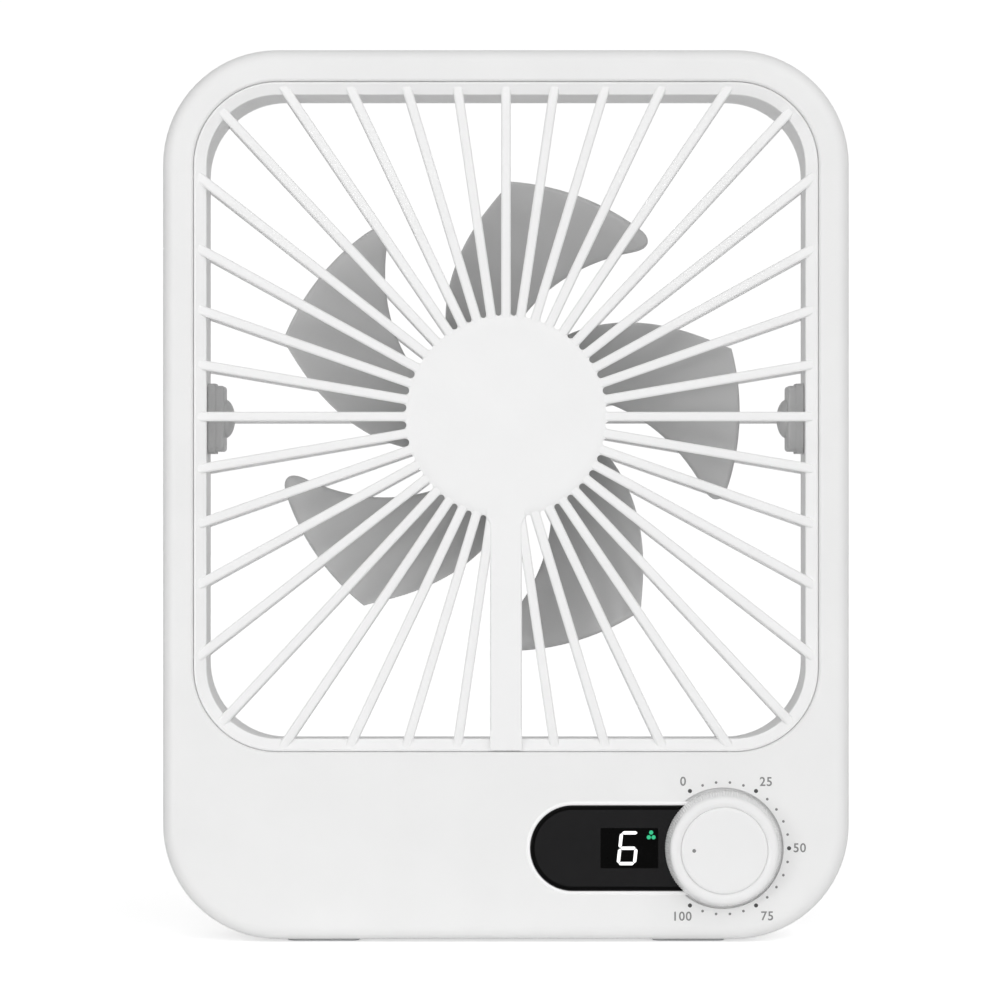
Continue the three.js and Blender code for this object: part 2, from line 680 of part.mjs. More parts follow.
// the plate that closes the pod: a ring around the duct, a closed part below, and spokes
function rearGrille() {
  const start = COVER_SEAT + GAP;
  const cover = roundedBack(podOutline(), start, DEPTH, REAR_EDGE_R);
  const window = plate(opening(RIM_OVERHANG), start - 1, DEPTH + 1);
  const below = plate(belowDuct(), start - 1, DEPTH - COVER_THICKNESS);
  const spokes = [];
  for (let i = 0; i < SPOKE_COUNT; i += 1) {
    const angle = spokeAngle(i);
    const end = reach(
      Math.cos(angle),
      Math.sin(angle),
      DUCT_HALF + 1,
      OPENING_RISE + RIM_OVERHANG + 1,
      OPENING_R + RIM_OVERHANG + 1,
    );
    spokes.push(
      spoke(angle, REAR_SPOKE_WIDTH, [
        [REAR_DISC_R - REAR_SPOKE_ROOT, start],
        [end, start],
        [end, DEPTH - REAR_SPOKE_SINK],
        [REAR_DISC_R - REAR_SPOKE_ROOT, DEPTH - REAR_SPOKE_SINK],
      ]),
    );
  }
  const disc = new THREE.Shape();
  disc.absarc(0, FAN_Z, REAR_DISC_R, 0, TURN, false);
  const face = plate(disc, start, DEPTH, {
    edge: DISC_EDGE,
    edgeSteps: 1,
    steps: ROUND_STEPS / 2,
  });
  const screwHoles = COVER_SCREWS.flatMap(([x, z]) => [
    round(x, z, SCREW_R + GAP, start - 1, DEPTH + 1, SMALL_STEPS),
    round(x, z, SCREW_HEAD_R + GAP, coverHeadDepth() - GAP, DEPTH + 1, SMALL_STEPS),
  ]);
  return cut(join([cover.subtract(window), ...spokes, face]), [below, ...screwHoles]);
}

function coverHeadDepth() {
  return DEPTH - SCREW_HEAD - COVER_HEAD_SINK;
}

// ---------------------------------------------------------------- screws

// a screw with its head to the rear: the head's underside is at headDepth
function screw(headR, headLength, shankR, shankLength, headDepth) {
  return join([
    round(0, 0, headR, headDepth, headDepth + headLength, SMALL_STEPS),
    round(0, 0, shankR, headDepth - shankLength, headDepth + headLength / 2, SMALL_STEPS),
  ]);
}

function motorScrewPlaces() {
  return [
    [-MOTOR_SCREW_RADIUS, FAN_Z],
    [MOTOR_SCREW_RADIUS, FAN_Z],
  ];
}

// ---------------------------------------------------------------- motor

function motorBoard() {
  const back = MOTOR_BOARD_DEPTH + MOTOR_BOARD_THICKNESS;
  const bore = TUBE_R + GAP + SOCKET_WALL + GAP;
  const board = tube(0, 0, BOARD_OUTER_R, bore, MOTOR_BOARD_DEPTH, back);
  return cut(
    board,
    motorScrewPlaces().map(([x]) =>
      round(x, 0, MOTOR_SCREW_R + GAP, MOTOR_BOARD_DEPTH - 1, back + 1, SMALL_STEPS),
    ),
  );
}

function bearingTube() {
  return tube(0, 0, TUBE_R, BEARING_R + GAP, TUBE_DEPTH, TUBE_END);
}

function bearing(near) {
  return tube(0, 0, BEARING_R, SHAFT_R + GAP, near, near + BEARING_LENGTH);
}

function statorCore() {
  const far = STATOR_DEPTH + STATOR_LENGTH;
  const core = round(0, 0, STATOR_BORE + STATOR_HUB, STATOR_DEPTH, far);
  const shoes = tube(0, 0, STATOR_R, STATOR_R - SHOE_THICKNESS, STATOR_DEPTH, far);
  const arms = [];
  const slots = [];
  for (let i = 0; i < STATOR_ARMS; i += 1) {
    const angle = (TURN * (i + 0.5)) / STATOR_ARMS;
    const armEnd = STATOR_R - SHOE_THICKNESS / 2;
    const arm = new THREE.BoxGeometry(armEnd, STATOR_LENGTH, ARM_SECTION);
    arm.translate(armEnd / 2, FRONT_Y + (STATOR_DEPTH + far) / 2, 0);
    arm.rotateY(angle);
    arms.push(solid(arm));
    const slot = new THREE.BoxGeometry(STATOR_R, STATOR_LENGTH + 2, SHOE_GAP);
    slot.translate(STATOR_R, FRONT_Y + (STATOR_DEPTH + far) / 2, 0);
    slot.rotateY(angle + TURN / STATOR_ARMS / 2);
    slots.push(slot);
  }
  const whole = join([core, shoes.subtract(join(slots.map(solid))), ...arms]);
  return whole.subtract(round(0, 0, STATOR_BORE, STATOR_DEPTH - 1, far + 1));
}

// a winding around one of the stator's arms, which lies along X
function coil() {
  const inner = STATOR_BORE + STATOR_HUB + 2 * GAP;
  const outer = STATOR_R - SHOE_THICKNESS - 2 * GAP;
  const near = STATOR_DEPTH - COIL_OVERHANG - GAP;
  const far = STATOR_DEPTH + STATOR_LENGTH + COIL_OVERHANG + GAP;
  const halfWidth = ARM_SECTION / 2 + GAP + COIL_THICKNESS;
  const winding = block(inner, outer, near, far, -halfWidth, halfWidth);
  const hole = block(
    inner - 1,
    outer + 1,
    STATOR_DEPTH - GAP,
    STATOR_DEPTH + STATOR_LENGTH + GAP,
    -ARM_SECTION / 2 - GAP,
    ARM_SECTION / 2 + GAP,
  );
  return winding.subtract(hole);
}

// ---------------------------------------------------------------- rotor

function magnetRing() {
  return tube(0, 0, MAGNET_OUTER, MAGNET_INNER, STATOR_DEPTH - GAP, STATOR_DEPTH + STATOR_LENGTH + 1);
}

function rotorYoke() {
  const outer = HUB_R - HUB_WALL - GAP;
  const plateRear = HUB_REAR - HUB_PLATE - GAP;
  const cup = round(0, 0, outer, HUB_FRONT, plateRear);
  return cut(cup, [
    round(0, 0, outer - YOKE_WALL, HUB_FRONT - 1, plateRear - YOKE_PLATE),
    round(0, 0, SHAFT_R + GAP, HUB_FRONT, plateRear + 1),
  ]);
}

function motorShaft() {
  const front = TUBE_DEPTH + SHAFT_START;
  const profile = [
    [0, front],
    [SHAFT_R - SHAFT_TIP, front],
    [SHAFT_R - SHAFT_TIP, front + 1],
    [SHAFT_R, front + 1],
    [SHAFT_R, HUB_REAR - GAP],
    [0, HUB_REAR - GAP],
  ];
  const geometry = new THREE.LatheGeometry(
    profile.map(([r, depth]) => new THREE.Vector2(r, FRONT_Y + depth)),
    SMALL_STEPS,
  );
  return solid(geometry);
}

function retainingClip() {
  const near = TUBE_DEPTH + SHAFT_START + GAP;
  return tube(0, 0, SHAFT_R + CLIP_WIDTH, SHAFT_R, near, near + CLIP_THICKNESS, SMALL_STEPS);
}

// One blade, as a grid of points: outwards from the hub, and from the leading edge to the
// trailing edge. Seen from the front the rotor turns clockwise and its leading edges lie
// deeper, so it blows forward. Angles are in degrees from the trailing tip.
const BLADE_ROOT_LEAD = -1;
const BLADE_ROOT_TRAIL = 44;
const BLADE_TIP_LEAD = -42;
const BLADE_TIP_ROUND = 5.2; // length of the rounded tip, and how far it draws in the edge
const BLADE_TIP_DRAW = 8;
const BLADE_REAR = 19;
const BLADE_REAR_SWELL = 4.4; // how much deeper the leading edge lies beyond the hub
const BLADE_FRONT = 9.7;
const BLADE_CAMBER = 1.1;

function bladePoint(along, across, side) {
  const root = HUB_R - HUB_WALL / 2;
  const r = root + (FAN_RADIUS - root) * along;
  const lead = BLADE_ROOT_LEAD + (BLADE_TIP_LEAD - BLADE_ROOT_LEAD) * along ** 0.92;
  const trail = BLADE_ROOT_TRAIL * (1 - along) ** 1.12;
  const tip = Math.max(0, 1 - (FAN_RADIUS - r) / BLADE_TIP_ROUND);
  const drawn = lead + BLADE_TIP_DRAW * (1 - Math.sqrt(1 - tip ** 2));
  const angle = THREE.MathUtils.degToRad(drawn + (trail - drawn) * across);
  const rear = BLADE_REAR + BLADE_REAR_SWELL * Math.sin(Math.PI * along * 0.6);
  const camber = BLADE_CAMBER * Math.sin(Math.PI * across);
  const thick = BLADE_THICKNESS * (0.45 + 0.55 * Math.sin(Math.PI * across));
  const depth = rear + (BLADE_FRONT - rear) * across + camber + (side * thick) / 2;
  return [r * Math.cos(angle), FRONT_Y + depth, r * Math.sin(angle)];
}

function blade(turn) {
  const rows = 8;
  const columns = 5;
  const points = [];
  for (const side of [-1, 1]) {
    for (let i = 0; i <= rows; i += 1) {
      for (let j = 0; j <= columns; j += 1) {
        points.push(...bladePoint(i === rows ? 1 : 1 - (1 - i / rows) ** 1.25, j / columns, side));
      }
    }
  }
  const at = (side, i, j) => (side * (rows + 1) + i) * (columns + 1) + j;
  const faces = [];
  const quad = (a, b, c, d) => faces.push(a, b, c, a, c, d);
  for (let i = 0; i < rows; i += 1) {
    for (let j = 0; j < columns; j += 1) {
      quad(at(0, i, j), at(0, i + 1, j), at(0, i + 1, j + 1), at(0, i, j + 1));
      quad(at(1, i, j), at(1, i, j + 1), at(1, i + 1, j + 1), at(1, i + 1, j));
    }
    quad(at(0, i, 0), at(1, i, 0), at(1, i + 1, 0), at(0, i + 1, 0));
    quad(at(0, i, columns), at(0, i + 1, columns), at(1, i + 1, columns), at(1, i, columns));
  }
  for (let j = 0; j < columns; j += 1) {
    quad(at(0, 0, j), at(0, 0, j + 1), at(1, 0, j + 1), at(1, 0, j));
    quad(at(0, rows, j), at(1, rows, j), at(1, rows, j + 1), at(0, rows, j + 1));
  }
  const geometry = new THREE.BufferGeometry();
  geometry.setAttribute('position', new THREE.Float32BufferAttribute(points, 3));
  geometry.setIndex(faces);
  geometry.rotateY(-turn);
  return solid(geometry);
}

function impeller() {
  const blades = [];
  for (let i = 0; i < BLADE_COUNT; i += 1) {
    blades.push(blade(THREE.MathUtils.degToRad(BLADE_PHASE) + (i * TURN) / BLADE_COUNT));
  }
  const hub = cut(round(0, 0, HUB_R, HUB_FRONT, HUB_REAR, 1.5 * ROUND_STEPS), [
    round(0, 0, HUB_R - HUB_WALL, HUB_FRONT - 1, HUB_REAR - HUB_PLATE),
    round(0, 0, SHAFT_R + GAP, HUB_FRONT, HUB_REAR + 1, SMALL_STEPS),
  ]);
  return join([hub, ...blades]);
}

// ---------------------------------------------------------------- knob and display

function knobSkirt() {
  const top = GAP - KNOB_HEIGHT;
  const base = -KNOB_CLEARANCE;
  const profile = [
    [0, base],
    [KNOB_R, base],
    [KNOB_R, top + KNOB_BEVEL],
    [KNOB_R - KNOB_BEVEL * 0.3, top + KNOB_BEVEL * 0.3],
    [KNOB_R - KNOB_BEVEL, top],
    [0, top],
  ];
  const geometry = new THREE.LatheGeometry(
    profile.reverse().map(([r, depth]) => new THREE.Vector2(r, FRONT_Y + depth)),
    1.5 * ROUND_STEPS,
  );
  const capFloor = CAP_THICKNESS + GAP - KNOB_HEIGHT;
  return cut(solid(geometry), [
    round(0, 0, CAP_R + GAP / 2, top - 1, capFloor),
    tube(
      0,
      0,
      KNOB_R - KNOB_RIM_WALL,
      KNOB_SHAFT_R + GAP + KNOB_BOSS_WALL,
      base - KNOB_HOLLOW,
      base + 1,
    ),
    round(0, 0, KNOB_SHAFT_R + GAP, capFloor + 1, base + 1),
  ]);
}

function knobCap() {
  const shape = new THREE.Shape();
  shape.absarc(0, 0, CAP_R, 0, TURN, false);
  return plate(shape, -KNOB_HEIGHT, CAP_THICKNESS - KNOB_HEIGHT, {
    edge: CAP_EDGE,
    edgeSteps: 1,
    steps: ROUND_STEPS / 2,
  });
}

function knobShaft() {
  const near = CAP_THICKNESS + KNOB_BOSS_WALL - KNOB_HEIGHT;
  return round(0, 0, KNOB_SHAFT_R, near, PANEL + KNOB_SHAFT_END);
}

function speedPot() {
  const near = PANEL + GAP;
  const body = round(0, 0, POT_R, near, BOARD_DEPTH - GAP);
  const bore = round(0, 0, KNOB_SHAFT_R + GAP, near - 1, PANEL + KNOB_SHAFT_END + GAP);
  return body.subtract(bore);
}

function displayLens() {
  return plate(lensOutline(), LENS_FACE, LENS_FACE + LENS_THICKNESS, {
    edge: 0.2,
    edgeSteps: 1,
  });
}

function displayModule() {
  const halfX = DISPLAY_W / 2 + MODULE_MARGIN;
  const halfZ = DISPLAY_H / 2 + MODULE_MARGIN;
  const near = PANEL + GAP;
  return block(-halfX, halfX, near, BOARD_DEPTH - GAP, -halfZ, halfZ);
}

// ---------------------------------------------------------------- electronics

function mainBoard() {
  const corner = CORNER_R / 2;
  const shape = new THREE.Shape([
    new THREE.Vector2(BOARD_LEFT, BOARD_BOTTOM),
    new THREE.Vector2(BOARD_RIGHT - corner, BOARD_BOTTOM),
    new THREE.Vector2(BOARD_RIGHT, BOARD_BOTTOM + corner),
    new THREE.Vector2(BOARD_RIGHT, BOARD_TOP),
    new THREE.Vector2(BOARD_LEFT, BOARD_TOP),
  ]);
  const back = BOARD_DEPTH + BOARD_THICKNESS;
  return cut(
    plate(shape, BOARD_DEPTH, back),
    BOARD_SCREWS.map(([x, z]) => round(x, z, BOARD_SCREW_R + GAP, 0, back + 1, SMALL_STEPS)),
  );
}

function batteryPack() {
  const near = PANEL + BATTERY_BEHIND_PANEL;
  return plate(
    roundedRect(BATTERY_LEFT, BATTERY_RIGHT, BOARD_BOTTOM, BOARD_TOP, BATTERY_CORNER_R),
    near,
    near + BATTERY_THICKNESS,
    { edge: BATTERY_EDGE, edgeSteps: 2, steps: 2 },
  );
}

function batteryCable() {
  const middle = BOARD_DEPTH + BOARD_THICKNESS / 2;
  const z = GROOVE_SCREW_Z + BATTERY_CABLE_ABOVE_SCREW;
  return cable(
    [
      [BATTERY_RIGHT + GAP, middle, z],
      [GROOVE_SCREW_X, middle + 1.5, z - 2],
      [BOARD_LEFT - GAP, middle, z],
    ],
    CABLE_R,
    8,
  );
}

// from the motor board, down inside the strut and under the rim, to the main board's edge
function motorCable() {
  const boardEdge = FAN_Z - BOARD_OUTER_R;
  const middle = BOARD_DEPTH + BOARD_THICKNESS / 2;
  return cable(
    [
      [0, MOTOR_BOARD_DEPTH + MOTOR_BOARD_THICKNESS / 2, boardEdge - GAP],
      [0, CABLE_DEPTH + 0.2, boardEdge - 3],
      [0, CABLE_DEPTH, boardEdge - 6],
      [0, CABLE_DEPTH, (boardEdge + DUCT_BOTTOM) / 2],
      [0, CABLE_DEPTH, DUCT_BOTTOM + 2],
      [0, CABLE_DEPTH + 0.1, DUCT_BOTTOM - DUCT_WALL],
      [2, (CABLE_DEPTH + middle) / 2, BOARD_TOP - 1],
      [BOARD_LEFT - CABLE_R - GAP, middle, BOARD_TOP - 6],
    ],
    CABLE_R,
    26,
  );
}

function usbDepth() {
  return BOARD_DEPTH + BOARD_THICKNESS + GAP + USB_H / 2;
}

// the port's outer section, moved outwards
function usbSection(grow = 0) {
  const halfY = USB_H / 2 + grow;
  const halfZ = USB_W / 2 + grow;
  const depth = usbDepth();
  return roundedRect(depth - halfY, depth + halfY, USB_Z - halfZ, USB_Z + halfZ, halfY - 0.01);
}

function usbShell() {
  const mouth = WIDTH / 2 - USB_RECESS;
  return barAlongX(usbSection(), mouth - USB_LENGTH, mouth).subtract(
    barAlongX(usbSection(-USB_WALL), mouth - USB_LENGTH + USB_BACK, mouth + 1),
  );
}

function usbTongue() {
  const mouth = WIDTH / 2 - USB_RECESS;
  const depth = usbDepth();
  return block(
    mouth - USB_LENGTH + USB_BACK + GAP,
    mouth - TONGUE_RECESS,
    depth - TONGUE_H / 2,
    depth + TONGUE_H / 2,
    USB_Z - TONGUE_W / 2,
    USB_Z + TONGUE_W / 2,
  );
}

function chargeLight() {
  const z = USB_Z + LIGHT_ABOVE_USB;
  const end = WIDTH / 2 - LIGHT_SINK;
  return pinAlongX(end - LIGHT_LENGTH, end, usbDepth(), z, LIGHT_R);
}

// ---------------------------------------------------------------- feet and stand

function foot([near, far]) {
  const shape = roundedRect(-FOOT_WIDTH / 2, FOOT_WIDTH / 2, near, far, FOOT_CORNER_R);
  const geometry = new THREE.ExtrudeGeometry(shape, {
    depth: FOOT_PROUD + FOOT_RECESS - 2 * GAP,
    bevelThickness: GAP,
    bevelSize: GAP,
    bevelOffset: -GAP,
    bevelSegments: 1,
    curveSegments: 2,
  });
  geometry.translate(0, FRONT_Y, GAP);
  return solid(geometry);
}

// both arms and the bar between them, drawn around the hinge's axis
function standFrame() {
  const bottom = BAR_BOTTOM - PIVOT_Z;
  const shape = new THREE.Shape();
  shape.moveTo(-ARM_OUT, 0);
  shape.absarc(STAND_CORNER_R - ARM_OUT, bottom + STAND_CORNER_R, STAND_CORNER_R,
    Math.PI, Math.PI * 1.5, false);
  shape.absarc(ARM_OUT - STAND_CORNER_R, bottom + STAND_CORNER_R, STAND_CORNER_R,
    Math.PI * 1.5, TURN, false);
  shape.lineTo(ARM_OUT, 0);
  shape.lineTo(ARM_IN, 0);
  const innerR = STAND_CORNER_R - ARM_WIDTH;
  const innerBottom = bottom + BAR_HEIGHT;
  shape.absarc(ARM_IN - innerR, innerBottom + innerR, innerR, 0, -Math.PI / 2, true);
  shape.absarc(innerR - ARM_IN, innerBottom + innerR, innerR, -Math.PI / 2, -Math.PI, true);
  shape.lineTo(-ARM_IN, 0);
  const near = PIVOT_DEPTH - ARM_DEPTH / 2;
  const far = PIVOT_DEPTH + ARM_DEPTH / 2;
  const frame = plate(shape, near, far, { edge: ARM_SOFTEN, edgeSteps: 1 });
  const eyes = [-1, 1].map((side) => alongSide(side, ARM_IN, ARM_OUT, ARM_DEPTH / 2, ROUND_STEPS));
  const holes = [-1, 1].flatMap((side) => [
    alongSide(side, ARM_IN - 1, ARM_OUT + 1, PIN_R + GAP),
    alongSide(side, ARM_OUT - PIN_HEAD - 2 * GAP, ARM_OUT + 1, PIN_HEAD_R + GAP, ROUND_STEPS),
    alongSide(side, ARM_IN - 1, ARM_IN + WASHER_THICKNESS, WASHER_R + GAP, ROUND_STEPS),
    block(
      side * PAD_X - PAD_LENGTH / 2 - GAP,
      side * PAD_X + PAD_LENGTH / 2 + GAP,
      PIVOT_DEPTH - PAD_WIDTH / 2 - GAP,
      PIVOT_DEPTH + PAD_WIDTH / 2 + GAP,
      bottom - 1,
      bottom + PAD_RECESS + GAP,
    ),
  ]);
  return cut(join([frame, ...eyes]), holes);
}

// a round bar along the hinge's axis, at one side of the case
function alongSide(side, inner, outer, radius, steps = SMALL_STEPS) {
  const ends = [side * inner, side * outer].sort((a, b) => a - b);
  return pinAlongX(ends[0], ends[1], PIVOT_DEPTH, 0, radius, steps);
}

function standPad() {
  const shape = roundedRect(
    -PAD_LENGTH / 2,
    PAD_LENGTH / 2,
    PIVOT_DEPTH - PAD_WIDTH / 2,
    PIVOT_DEPTH + PAD_WIDTH / 2,
    PAD_CORNER_R,
  );
  const geometry = new THREE.ExtrudeGeometry(shape, {
    depth: PAD_PROUD + PAD_RECESS,
    bevelEnabled: false,
    curveSegments: 2,
  });
  geometry.translate(0, FRONT_Y, BAR_BOTTOM - PIVOT_Z - PAD_PROUD);
  return solid(geometry);
}

function hingePin(side) {
  const inner = DUCT_HALF - BRACKET_PROUD + GAP;
  const outer = ARM_OUT - GAP;
  return join([
    alongSide(side, inner, outer, PIN_R),
    alongSide(side, outer - PIN_HEAD, outer, PIN_HEAD_R, ROUND_STEPS),
  ]);
}

function frictionWasher(side) {
  const inner = POD_HALF + GAP;
  return alongSide(side, inner, ARM_IN + WASHER_THICKNESS - GAP, WASHER_R, ROUND_STEPS).subtract(
    alongSide(side, inner - 1, ARM_IN + WASHER_THICKNESS + 1, PIN_R + GAP),
  );
}

// the bearing block inside the duct, and the domed cap on it
function hingeBracket(side) {
  const shape = roundedRect(
    PIVOT_DEPTH - BRACKET_DEPTH / 2,
    PIVOT_DEPTH + BRACKET_DEPTH / 2,
    -BRACKET_HEIGHT / 2,
    BRACKET_HEIGHT / 2,
    BRACKET_CORNER_R,
  );
  const ends = [side * (DUCT_HALF - BRACKET_PROUD), side * (DUCT_HALF - GAP)].sort((a, b) => a - b);
  return barAlongX(shape, ends[0], ends[1]).subtract(
    alongSide(side, DUCT_HALF - BRACKET_PROUD - 1, DUCT_HALF + 1, PIN_R + GAP),
  );
}

function hingeCap(side) {
  const profile = [[0, 0]];
  const steps = 4;
  for (let i = 0; i <= steps; i += 1) {
    const angle = (i / steps) * (Math.PI / 2);
    profile.push([CAP_DOME_R * Math.cos(angle), CAP_DOME * Math.sin(angle)]);
  }
  const last = profile.length - 1;
  profile[last] = [0, CAP_DOME];
  const geometry = new THREE.LatheGeometry(
    profile.map(([r, rise]) => new THREE.Vector2(r, rise)),
    ROUND_STEPS,
  );
  geometry.rotateZ((side * Math.PI) / 2);
  geometry.translate(side * (DUCT_HALF - BRACKET_PROUD - GAP), FRONT_Y + PIVOT_DEPTH, 0);
  return solid(geometry);
}

// ---------------------------------------------------------------- the scene

function material(color, roughness, metalness = 0) {
  return new THREE.MeshStandardMaterial({ color, roughness, metalness });
}

const CASE_WHITE = material(0xf3f3f2, 0.42);
const GRILLE_WHITE = material(0xf5f5f5, 0.4);
const BLADE_WHITE = material(0xdcdcdc, 0.45);
const KNOB_WHITE = material(0xf4f4f4, 0.3);
const LENS_BLACK = material(0x101112, 0.08);
const DARK_PLASTIC = material(0x1d1d1f, 0.55);
const RUBBER_GREY = material(0x8c8e90, 0.8);
const BOARD_GREEN = material(0x1f5a3c, 0.5);
const BATTERY_FOIL = material(0x5a7fa8, 0.45);
const CABLE_RED = material(0x9a2320, 0.5);
const STEEL = material(0xb9bcc0, 0.32, 1);
const BRASS = material(0xb58b43, 0.35, 1);
const COPPER = material(0xb4662f, 0.35, 1);
const MAGNET = material(0x35302d, 0.7);
const CLEAR_LIGHT = material(0xe8efe9, 0.2);

const fan = new THREE.Group();
const rotor = new THREE.Group();
const motor = new THREE.Group();
const knob = new THREE.Group();
const stand = new THREE.Group();
const hinges = new THREE.Group();
rotor.position.set(0, 0, FAN_Z);
motor.position.set(0, 0, FAN_Z);
knob.position.set(KNOB_X, 0, KNOB_Z);
stand.position.set(0, 0, PIVOT_Z);
hinges.position.set(0, 0, PIVOT_Z);
fan.add(rotor, motor, knob, stand, hinges);

function toGeometry(body) {
  const mesh = body.getMesh();
  const indexed = new THREE.BufferGeometry();
  indexed.setAttribute('position', new THREE.BufferAttribute(mesh.vertProperties, 3));
  indexed.setIndex(new THREE.BufferAttribute(mesh.triVerts, 1));
  indexed.computeVertexNormals();
  return indexed;
}

function add(group, name, body, look) {
  const mesh = new THREE.Mesh(toGeometry(body), look);
  mesh.name = name;
  group.add(mesh);
  return mesh;
}

add(fan, 'front_housing', frontHousing(), CASE_WHITE);
add(fan, 'rear_housing', rearHousing(), CASE_WHITE);
add(fan, 'front_grille', frontGrille(), GRILLE_WHITE);
add(fan, 'rear_grille', rearGrille(), GRILLE_WHITE);
add(fan, 'cable_cover', cableCover(), GRILLE_WHITE);
add(fan, 'display_lens', displayLens(), LENS_BLACK);
add(fan, 'display_module', displayModule(), DARK_PLASTIC).position.set(DISPLAY_X, 0, KNOB_Z);
add(fan, 'main_board', mainBoard(), BOARD_GREEN);
add(fan, 'speed_pot', speedPot(), STEEL).position.set(KNOB_X, 0, KNOB_Z);
add(fan, 'battery_pack', batteryPack(), BATTERY_FOIL);
add(fan, 'battery_cable', batteryCable(), CABLE_RED);
add(fan, 'motor_cable', motorCable(), DARK_PLASTIC);
add(fan, 'usb_shell', usbShell(), STEEL);
add(fan, 'usb_tongue', usbTongue(), DARK_PLASTIC);
add(fan, 'charge_light', chargeLight(), CLEAR_LIGHT);

HOUSING_SCREWS.forEach(([x, z], i) => {
  const body = screw(SCREW_HEAD_R, SCREW_HEAD, SCREW_R, HOUSING_SCREW_LENGTH, STEP - SCREW_HEAD);
  add(fan, `housing_screw_${i + 1}`, body, STEEL).position.set(x, 0, z);
});
COVER_SCREWS.forEach(([x, z], i) => {
  const shank = coverHeadDepth() - COVER_SEAT + COVER_SCREW_LENGTH - 1;
  const body = screw(SCREW_HEAD_R, SCREW_HEAD, SCREW_R, shank, coverHeadDepth());
  add(fan, `cover_screw_${i + 1}`, body, STEEL).position.set(x, 0, z);
});
BOARD_SCREWS.forEach(([x, z], i) => {
  const head = BOARD_DEPTH + BOARD_THICKNESS + GAP;
  const body = screw(BOARD_SCREW_HEAD_R, SCREW_HEAD, BOARD_SCREW_R, BOARD_SCREW_LENGTH, head);
  add(fan, `board_screw_${i + 1}`, body, STEEL).position.set(x, 0, z);
});
motorScrewPlaces().forEach(([x, z], i) => {
  const head = MOTOR_BOARD_DEPTH + MOTOR_BOARD_THICKNESS + GAP;
  const shank = MOTOR_SCREW_LENGTH;
  const body = screw(MOTOR_SCREW_HEAD_R, MOTOR_SCREW_HEAD, MOTOR_SCREW_R, shank, head);
  add(fan, `motor_screw_${i + 1}`, body, STEEL).position.set(x, 0, z);
});
FEET.forEach(([name, x, depths]) => {
  add(fan, name, foot(depths), RUBBER_GREY).position.set(x, 0, 0);
});

add(motor, 'motor_board', motorBoard(), BOARD_GREEN);
add(motor, 'bearing_tube', bearingTube(), BRASS);
add(motor, 'bearing_front', bearing(TUBE_DEPTH + FRONT_BEARING_START), STEEL);
add(motor, 'bearing_rear', bearing(TUBE_END - REAR_BEARING_END - BEARING_LENGTH), STEEL);
add(motor, 'stator_core', statorCore(), STEEL);
for (let i = 0; i < STATOR_ARMS; i += 1) {
  const winding = add(motor, `coil_${i + 1}`, coil(), COPPER);
  winding.rotation.y = (TURN * (i + 0.5)) / STATOR_ARMS;
}

add(rotor, 'impeller', impeller(), BLADE_WHITE);
add(rotor, 'rotor_yoke', rotorYoke(), STEEL);
add(rotor, 'magnet_ring', magnetRing(), MAGNET);
add(rotor, 'motor_shaft', motorShaft(), STEEL);
add(rotor, 'retaining_clip', retainingClip(), STEEL);

add(knob, 'knob_skirt', knobSkirt(), KNOB_WHITE);
add(knob, 'knob_cap', knobCap(), KNOB_WHITE);
add(knob, 'knob_shaft', knobShaft(), STEEL);

add(stand, 'stand_frame', standFrame(), CASE_WHITE);
for (const [side, name] of [[-1, 'left'], [1, 'right']]) {
  add(stand, `hinge_pin_${name}`, hingePin(side), STEEL);
  add(stand, `friction_washer_${name}`, frictionWasher(side), DARK_PLASTIC);
  add(stand, `stand_pad_${name}`, standPad(), RUBBER_GREY).position.x = side * PAD_X;
  add(hinges, `hinge_bracket_${name}`, hingeBracket(side), GRILLE_WHITE);
  add(hinges, `hinge_cap_${name}`, hingeCap(side), GRILLE_WHITE);
}

export default fan;
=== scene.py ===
"""The looks of a small battery box fan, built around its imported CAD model.

Sizes are in millimetres and are turned into metres where a mesh is made. A depth is counted
back from the case's front face. X is to the right seen from the front, Z is up.
"""

import json
from math import atan2, cos, hypot, pi, radians, sin, sqrt

import bmesh
import bpy
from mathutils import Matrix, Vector


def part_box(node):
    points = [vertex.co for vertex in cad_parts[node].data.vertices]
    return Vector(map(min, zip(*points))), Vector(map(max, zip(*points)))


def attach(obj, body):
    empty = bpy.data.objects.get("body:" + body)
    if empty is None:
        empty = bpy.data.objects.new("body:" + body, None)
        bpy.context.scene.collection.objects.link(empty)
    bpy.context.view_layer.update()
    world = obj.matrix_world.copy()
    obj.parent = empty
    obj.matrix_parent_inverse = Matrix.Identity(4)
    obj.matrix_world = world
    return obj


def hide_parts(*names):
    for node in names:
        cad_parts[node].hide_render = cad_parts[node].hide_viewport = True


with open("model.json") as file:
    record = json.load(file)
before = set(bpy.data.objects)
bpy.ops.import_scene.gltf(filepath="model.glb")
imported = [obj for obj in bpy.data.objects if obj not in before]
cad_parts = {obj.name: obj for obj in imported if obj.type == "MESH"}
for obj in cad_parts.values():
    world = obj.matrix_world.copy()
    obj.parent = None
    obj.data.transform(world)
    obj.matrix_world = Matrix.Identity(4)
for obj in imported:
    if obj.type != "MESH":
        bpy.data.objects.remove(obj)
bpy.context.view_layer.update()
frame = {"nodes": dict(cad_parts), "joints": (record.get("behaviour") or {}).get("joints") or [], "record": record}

MM = 0.001
X, Y, Z = 0, 1, 2


def low(node, axis):
    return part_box(node)[0][axis] / MM


def high(node, axis):
    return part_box(node)[1][axis] / MM


def middle(node, axis):
    return (low(node, axis) + high(node, axis)) / 2


def front_of(node):
    """The depth at which a node starts."""
    return low(node, Y) - FRONT


def back_of(node):
    """The depth at which a node ends."""
    return high(node, Y) - FRONT


def inner_x(node):
    """How near a node at one side comes to the middle."""
    return min(abs(low(node, X)), abs(high(node, X)))


def outer_x(node):
    return max(abs(low(node, X)), abs(high(node, X)))


